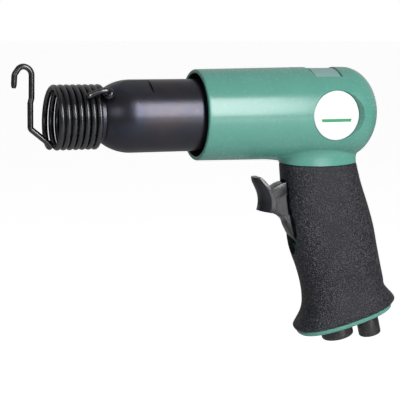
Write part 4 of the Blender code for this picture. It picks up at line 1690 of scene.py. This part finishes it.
@dataclass
class Studio:
    """The floor, the soft lights and the camera."""

    floor_drop: float = 0.26
    floor_reach: float = 25.0
    room_light: float = 0.13
    backdrop_light: float = 0.5
    turn: float = 0.334337
    rise: float = 0.148353
    roll: float = -0.00774426
    lens: float = 107.53
    distance: float = 629.168
    target: Point3 = (3.479, 0.0, -44.870)

    def floor(self, pale: bpy.types.Material) -> None:
        """Lay the floor well below the tool."""
        bm = bmesh.new()
        bmesh.ops.create_grid(bm, x_segments=8, y_segments=8, size=self.floor_reach)
        low = min(corner[2] for corner in CAD_BOUNDS)
        bmesh.ops.translate(bm, vec=(0.0, 0.0, low - self.floor_drop), verts=bm.verts)
        made = to_object(bm, "studio_floor")
        made.data.materials.append(pale)

    def surroundings(self) -> None:
        """Make the surroundings white to look at and softer as a light."""
        world = bpy.data.worlds.new("studio_world")
        bpy.context.scene.world = world
        world.use_nodes = True
        sheet = Sheet(world.node_tree)
        background = world.node_tree.nodes["Background"]
        seen = sheet.add("LightPath").outputs["Is Camera Ray"]
        direction = sheet.add("TexCoord").outputs["Generated"]
        facing = sheet.add("VectorMath", operation="DOT_PRODUCT")
        sheet.join(direction, facing.inputs[0])
        facing.inputs[1].default_value = (math.sin(self.turn), math.cos(self.turn), 0.0)
        paper = sheet.remap(facing.outputs["Value"], (0.15, 0.8), (self.room_light, self.backdrop_light))
        strength = sheet.maths("MAXIMUM", paper, seen)
        background.inputs["Color"].default_value = (1.0, 1.0, 1.0, 1.0)
        sheet.join(strength, background.inputs["Strength"])

    def lamp(
        self,
        name: str,
        spot: Point3,
        size: Point2,
        power: float,
        aim: Vector,
        colour: Colour = (1.0, 1.0, 1.0),
    ) -> None:
        """Hang a rectangular soft light.

        Args:
            name: The light's name.
            spot: Its place in millimetres in the tool frame.
            size: Its width and height in metres.
            power: Its power in watts.
            aim: The point it faces, in the tool frame.
            colour: The light's colour.
        """
        light = bpy.data.lights.new(name, "AREA")
        light.shape = "RECTANGLE"
        light.size, light.size_y = size
        light.energy = power
        light.color = colour
        made = bpy.data.objects.new(name, light)
        made.location = place(Vector(spot))
        made.rotation_euler = (aim - Vector(spot)).to_track_quat("-Z", "Y").to_euler()
        bpy.context.scene.collection.objects.link(made)

    def lights(self) -> None:
        """Hang the key light and the fills."""
        middle = Vector((10.0, 0.0, -20.0))
        ahead = Vector((330.0, 0.0, 60.0))
        self.lamp("key_softbox", (330.0, -1000.0, 430.0), (0.32, 0.85), 11.5, ahead)
        self.lamp("top_softbox", (60.0, 100.0, 1300.0), (1.6, 1.2), 1.2, middle)
        self.lamp("low_softbox", (330.0, -1000.0, -190.0), (0.34, 0.22), 0.8, middle)
        cool = (0.78, 0.88, 1.0)
        self.lamp("left_softbox", (-860.0, -1000.0, 430.0), (0.7, 0.5), 2.4, middle, cool)

    def camera(self) -> None:
        """Place the camera."""
        level = math.cos(self.rise)
        ahead = (math.sin(self.turn) * level, math.cos(self.turn) * level, -math.sin(self.rise))
        forward = Vector(ahead)
        right = Vector((math.cos(self.turn), -math.sin(self.turn), 0.0))
        up = right.cross(forward)
        across = right * math.cos(self.roll) - up * math.sin(self.roll)
        upright = right * math.sin(self.roll) + up * math.cos(self.roll)
        data = bpy.data.cameras.new("studio_camera")
        data.lens = self.lens
        data.sensor_width = 36.0
        data.clip_start = 0.01
        data.clip_end = 100.0
        made = bpy.data.objects.new("studio_camera", data)
        turn = Matrix((across, upright, -forward)).transposed().to_4x4()
        spot = place(Vector(self.target) - forward * self.distance)
        made.matrix_world = Matrix.Translation(spot) @ turn
        bpy.context.scene.collection.objects.link(made)
        bpy.context.scene.camera = made

    def build(self, pale: bpy.types.Material) -> None:
        """Set up the whole studio with a pale floor."""
        self.floor(pale)
        self.surroundings()
        self.lights()
        self.camera()
        bpy.context.scene.view_settings.view_transform = "Standard"


@dataclass(frozen=True)
class PaleFloor(Finish):
    """A plain pale floor with a faint unevenness.

    Attributes:
        name: The material's name.
        colour: The floor's colour.
        shade: Its slightly darker colour.
        glow: How much light it gives off by itself, like a lit table.
    """

    name: str
    colour: Colour
    shade: Colour
    glow: float

    def build(self, effects: Effects) -> bpy.types.Material:
        """Build the material from the shared effects."""
        material, sheet, shader, vector = self.start()
        mottle = self.use(sheet, effects.mottle, vector, Scale=3.0)
        sheet.join(sheet.blend(mottle.outputs["Value"], self.colour, self.shade), shader.inputs["Base Color"])
        seen = sheet.add("LightPath").outputs["Is Camera Ray"]
        lit = sheet.maths("MULTIPLY", seen, self.glow)
        sheet.feed(shader, Roughness=0.8, Emission_Color=(1.0, 1.0, 1.0, 1.0), Emission_Strength=lit)
        return material


def main() -> None:
    """Build every piece in order."""
    logging.basicConfig(level=logging.INFO, format="%(name)s %(message)s")
    effects = Effects()
    enamel = Enamel(
        "sea_green_enamel",
        colour=(0.117, 0.365, 0.292),
        deep=(0.108, 0.340, 0.272),
        bare=(0.55, 0.56, 0.55),
    ).build(effects)
    casting = TurnedMetal("bare_casting", (0.16, 0.16, 0.16), (0.08, 0.08, 0.08), (0.4, 0.6)).build(effects)
    blued = BlackedSteel(
        "blued_barrel_steel",
        cool=(0.034, 0.041, 0.064),
        warm=(0.066, 0.056, 0.060),
        bare=(0.24, 0.23, 0.23),
        gloss=(0.27, 0.36),
        metallic=0.8,
        threshold=0.6,
    ).build(effects)
    wire = BlackedSteel(
        "oiled_spring_wire",
        cool=(0.0035, 0.0042, 0.0075),
        warm=(0.006, 0.0055, 0.008),
        bare=(0.4, 0.4, 0.41),
        gloss=(0.20, 0.30),
        metallic=0.0,
        threshold=0.52,
        sheen=1.0,
    ).build(effects)
    oxide = BlackedSteel(
        "gritty_black_oxide",
        cool=(0.012, 0.012, 0.013),
        warm=(0.026, 0.024, 0.024),
        bare=(0.20, 0.19, 0.18),
        gloss=(0.30, 0.48),
        metallic=0.2,
        threshold=0.53,
        sheen=0.8,
        # Pale specks: partly the grit's own grain, partly painted glints.
        grit_glint_specks=0.11,
    ).build(effects)
    rubber = PebbledRubber(
        "pebbled_grip_rubber",
        colour=(0.006, 0.0065, 0.011),
        # The crown colour is a painted highlight on the pebbles' crowns.
        crown=(0.088, 0.083, 0.096),
        grain=1400.0,
    ).build(effects)
    moulding = Moulded(
        "gloss_black_moulding",
        colour=(0.016, 0.016, 0.021),
        rubbed=(0.07, 0.07, 0.07),
        gloss=(0.14, 0.22),
        grain=2400.0,
        relief=0.12,
    ).build(effects)
    white = PrintedLabel(
        "plain_white_label", ground=(0.95, 0.955, 0.95), ink=(0.03, 0.33, 0.12), band=(-3.4, -1.8)
    ).build(effects)
    silver = PrintedLabel("satin_film", ground=(0.25, 0.43, 0.40), ink=(0.2, 0.36, 0.32)).build(effects)
    steel = TurnedMetal("turned_steel", (0.36, 0.36, 0.37), (0.22, 0.21, 0.2), (0.3, 0.5)).build(effects)
    bright = TurnedMetal(
        "ground_bright_steel", (0.62, 0.62, 0.63), (0.48, 0.47, 0.45), (0.16, 0.3)
    ).build(effects)
    brass = TurnedMetal("turned_brass", (0.66, 0.47, 0.2), (0.42, 0.3, 0.14), (0.22, 0.4)).build(effects)
    seal = Moulded(
        "seal_rubber",
        colour=(0.015, 0.015, 0.015),
        rubbed=(0.05, 0.05, 0.05),
        gloss=(0.5, 0.65),
        grain=2600.0,
        relief=0.2,
    ).build(effects)
    pale = PaleFloor("pale_floor", (0.72, 0.72, 0.72), (0.70, 0.70, 0.70), 0.8).build(effects)

    Housing().build(enamel, casting)
    Barrel().build(blued)
    Retainer().build(wire)
    Labels().build(white, silver)
    Grip().build(rubber)
    Trigger().build(moulding)
    AirFittings().build(oxide)
    InnerWorks().dress({"steel": steel, "bright": bright, "brass": brass, "rubber": seal})
    Studio().build(pale)


if __name__ == "__main__":
    main()
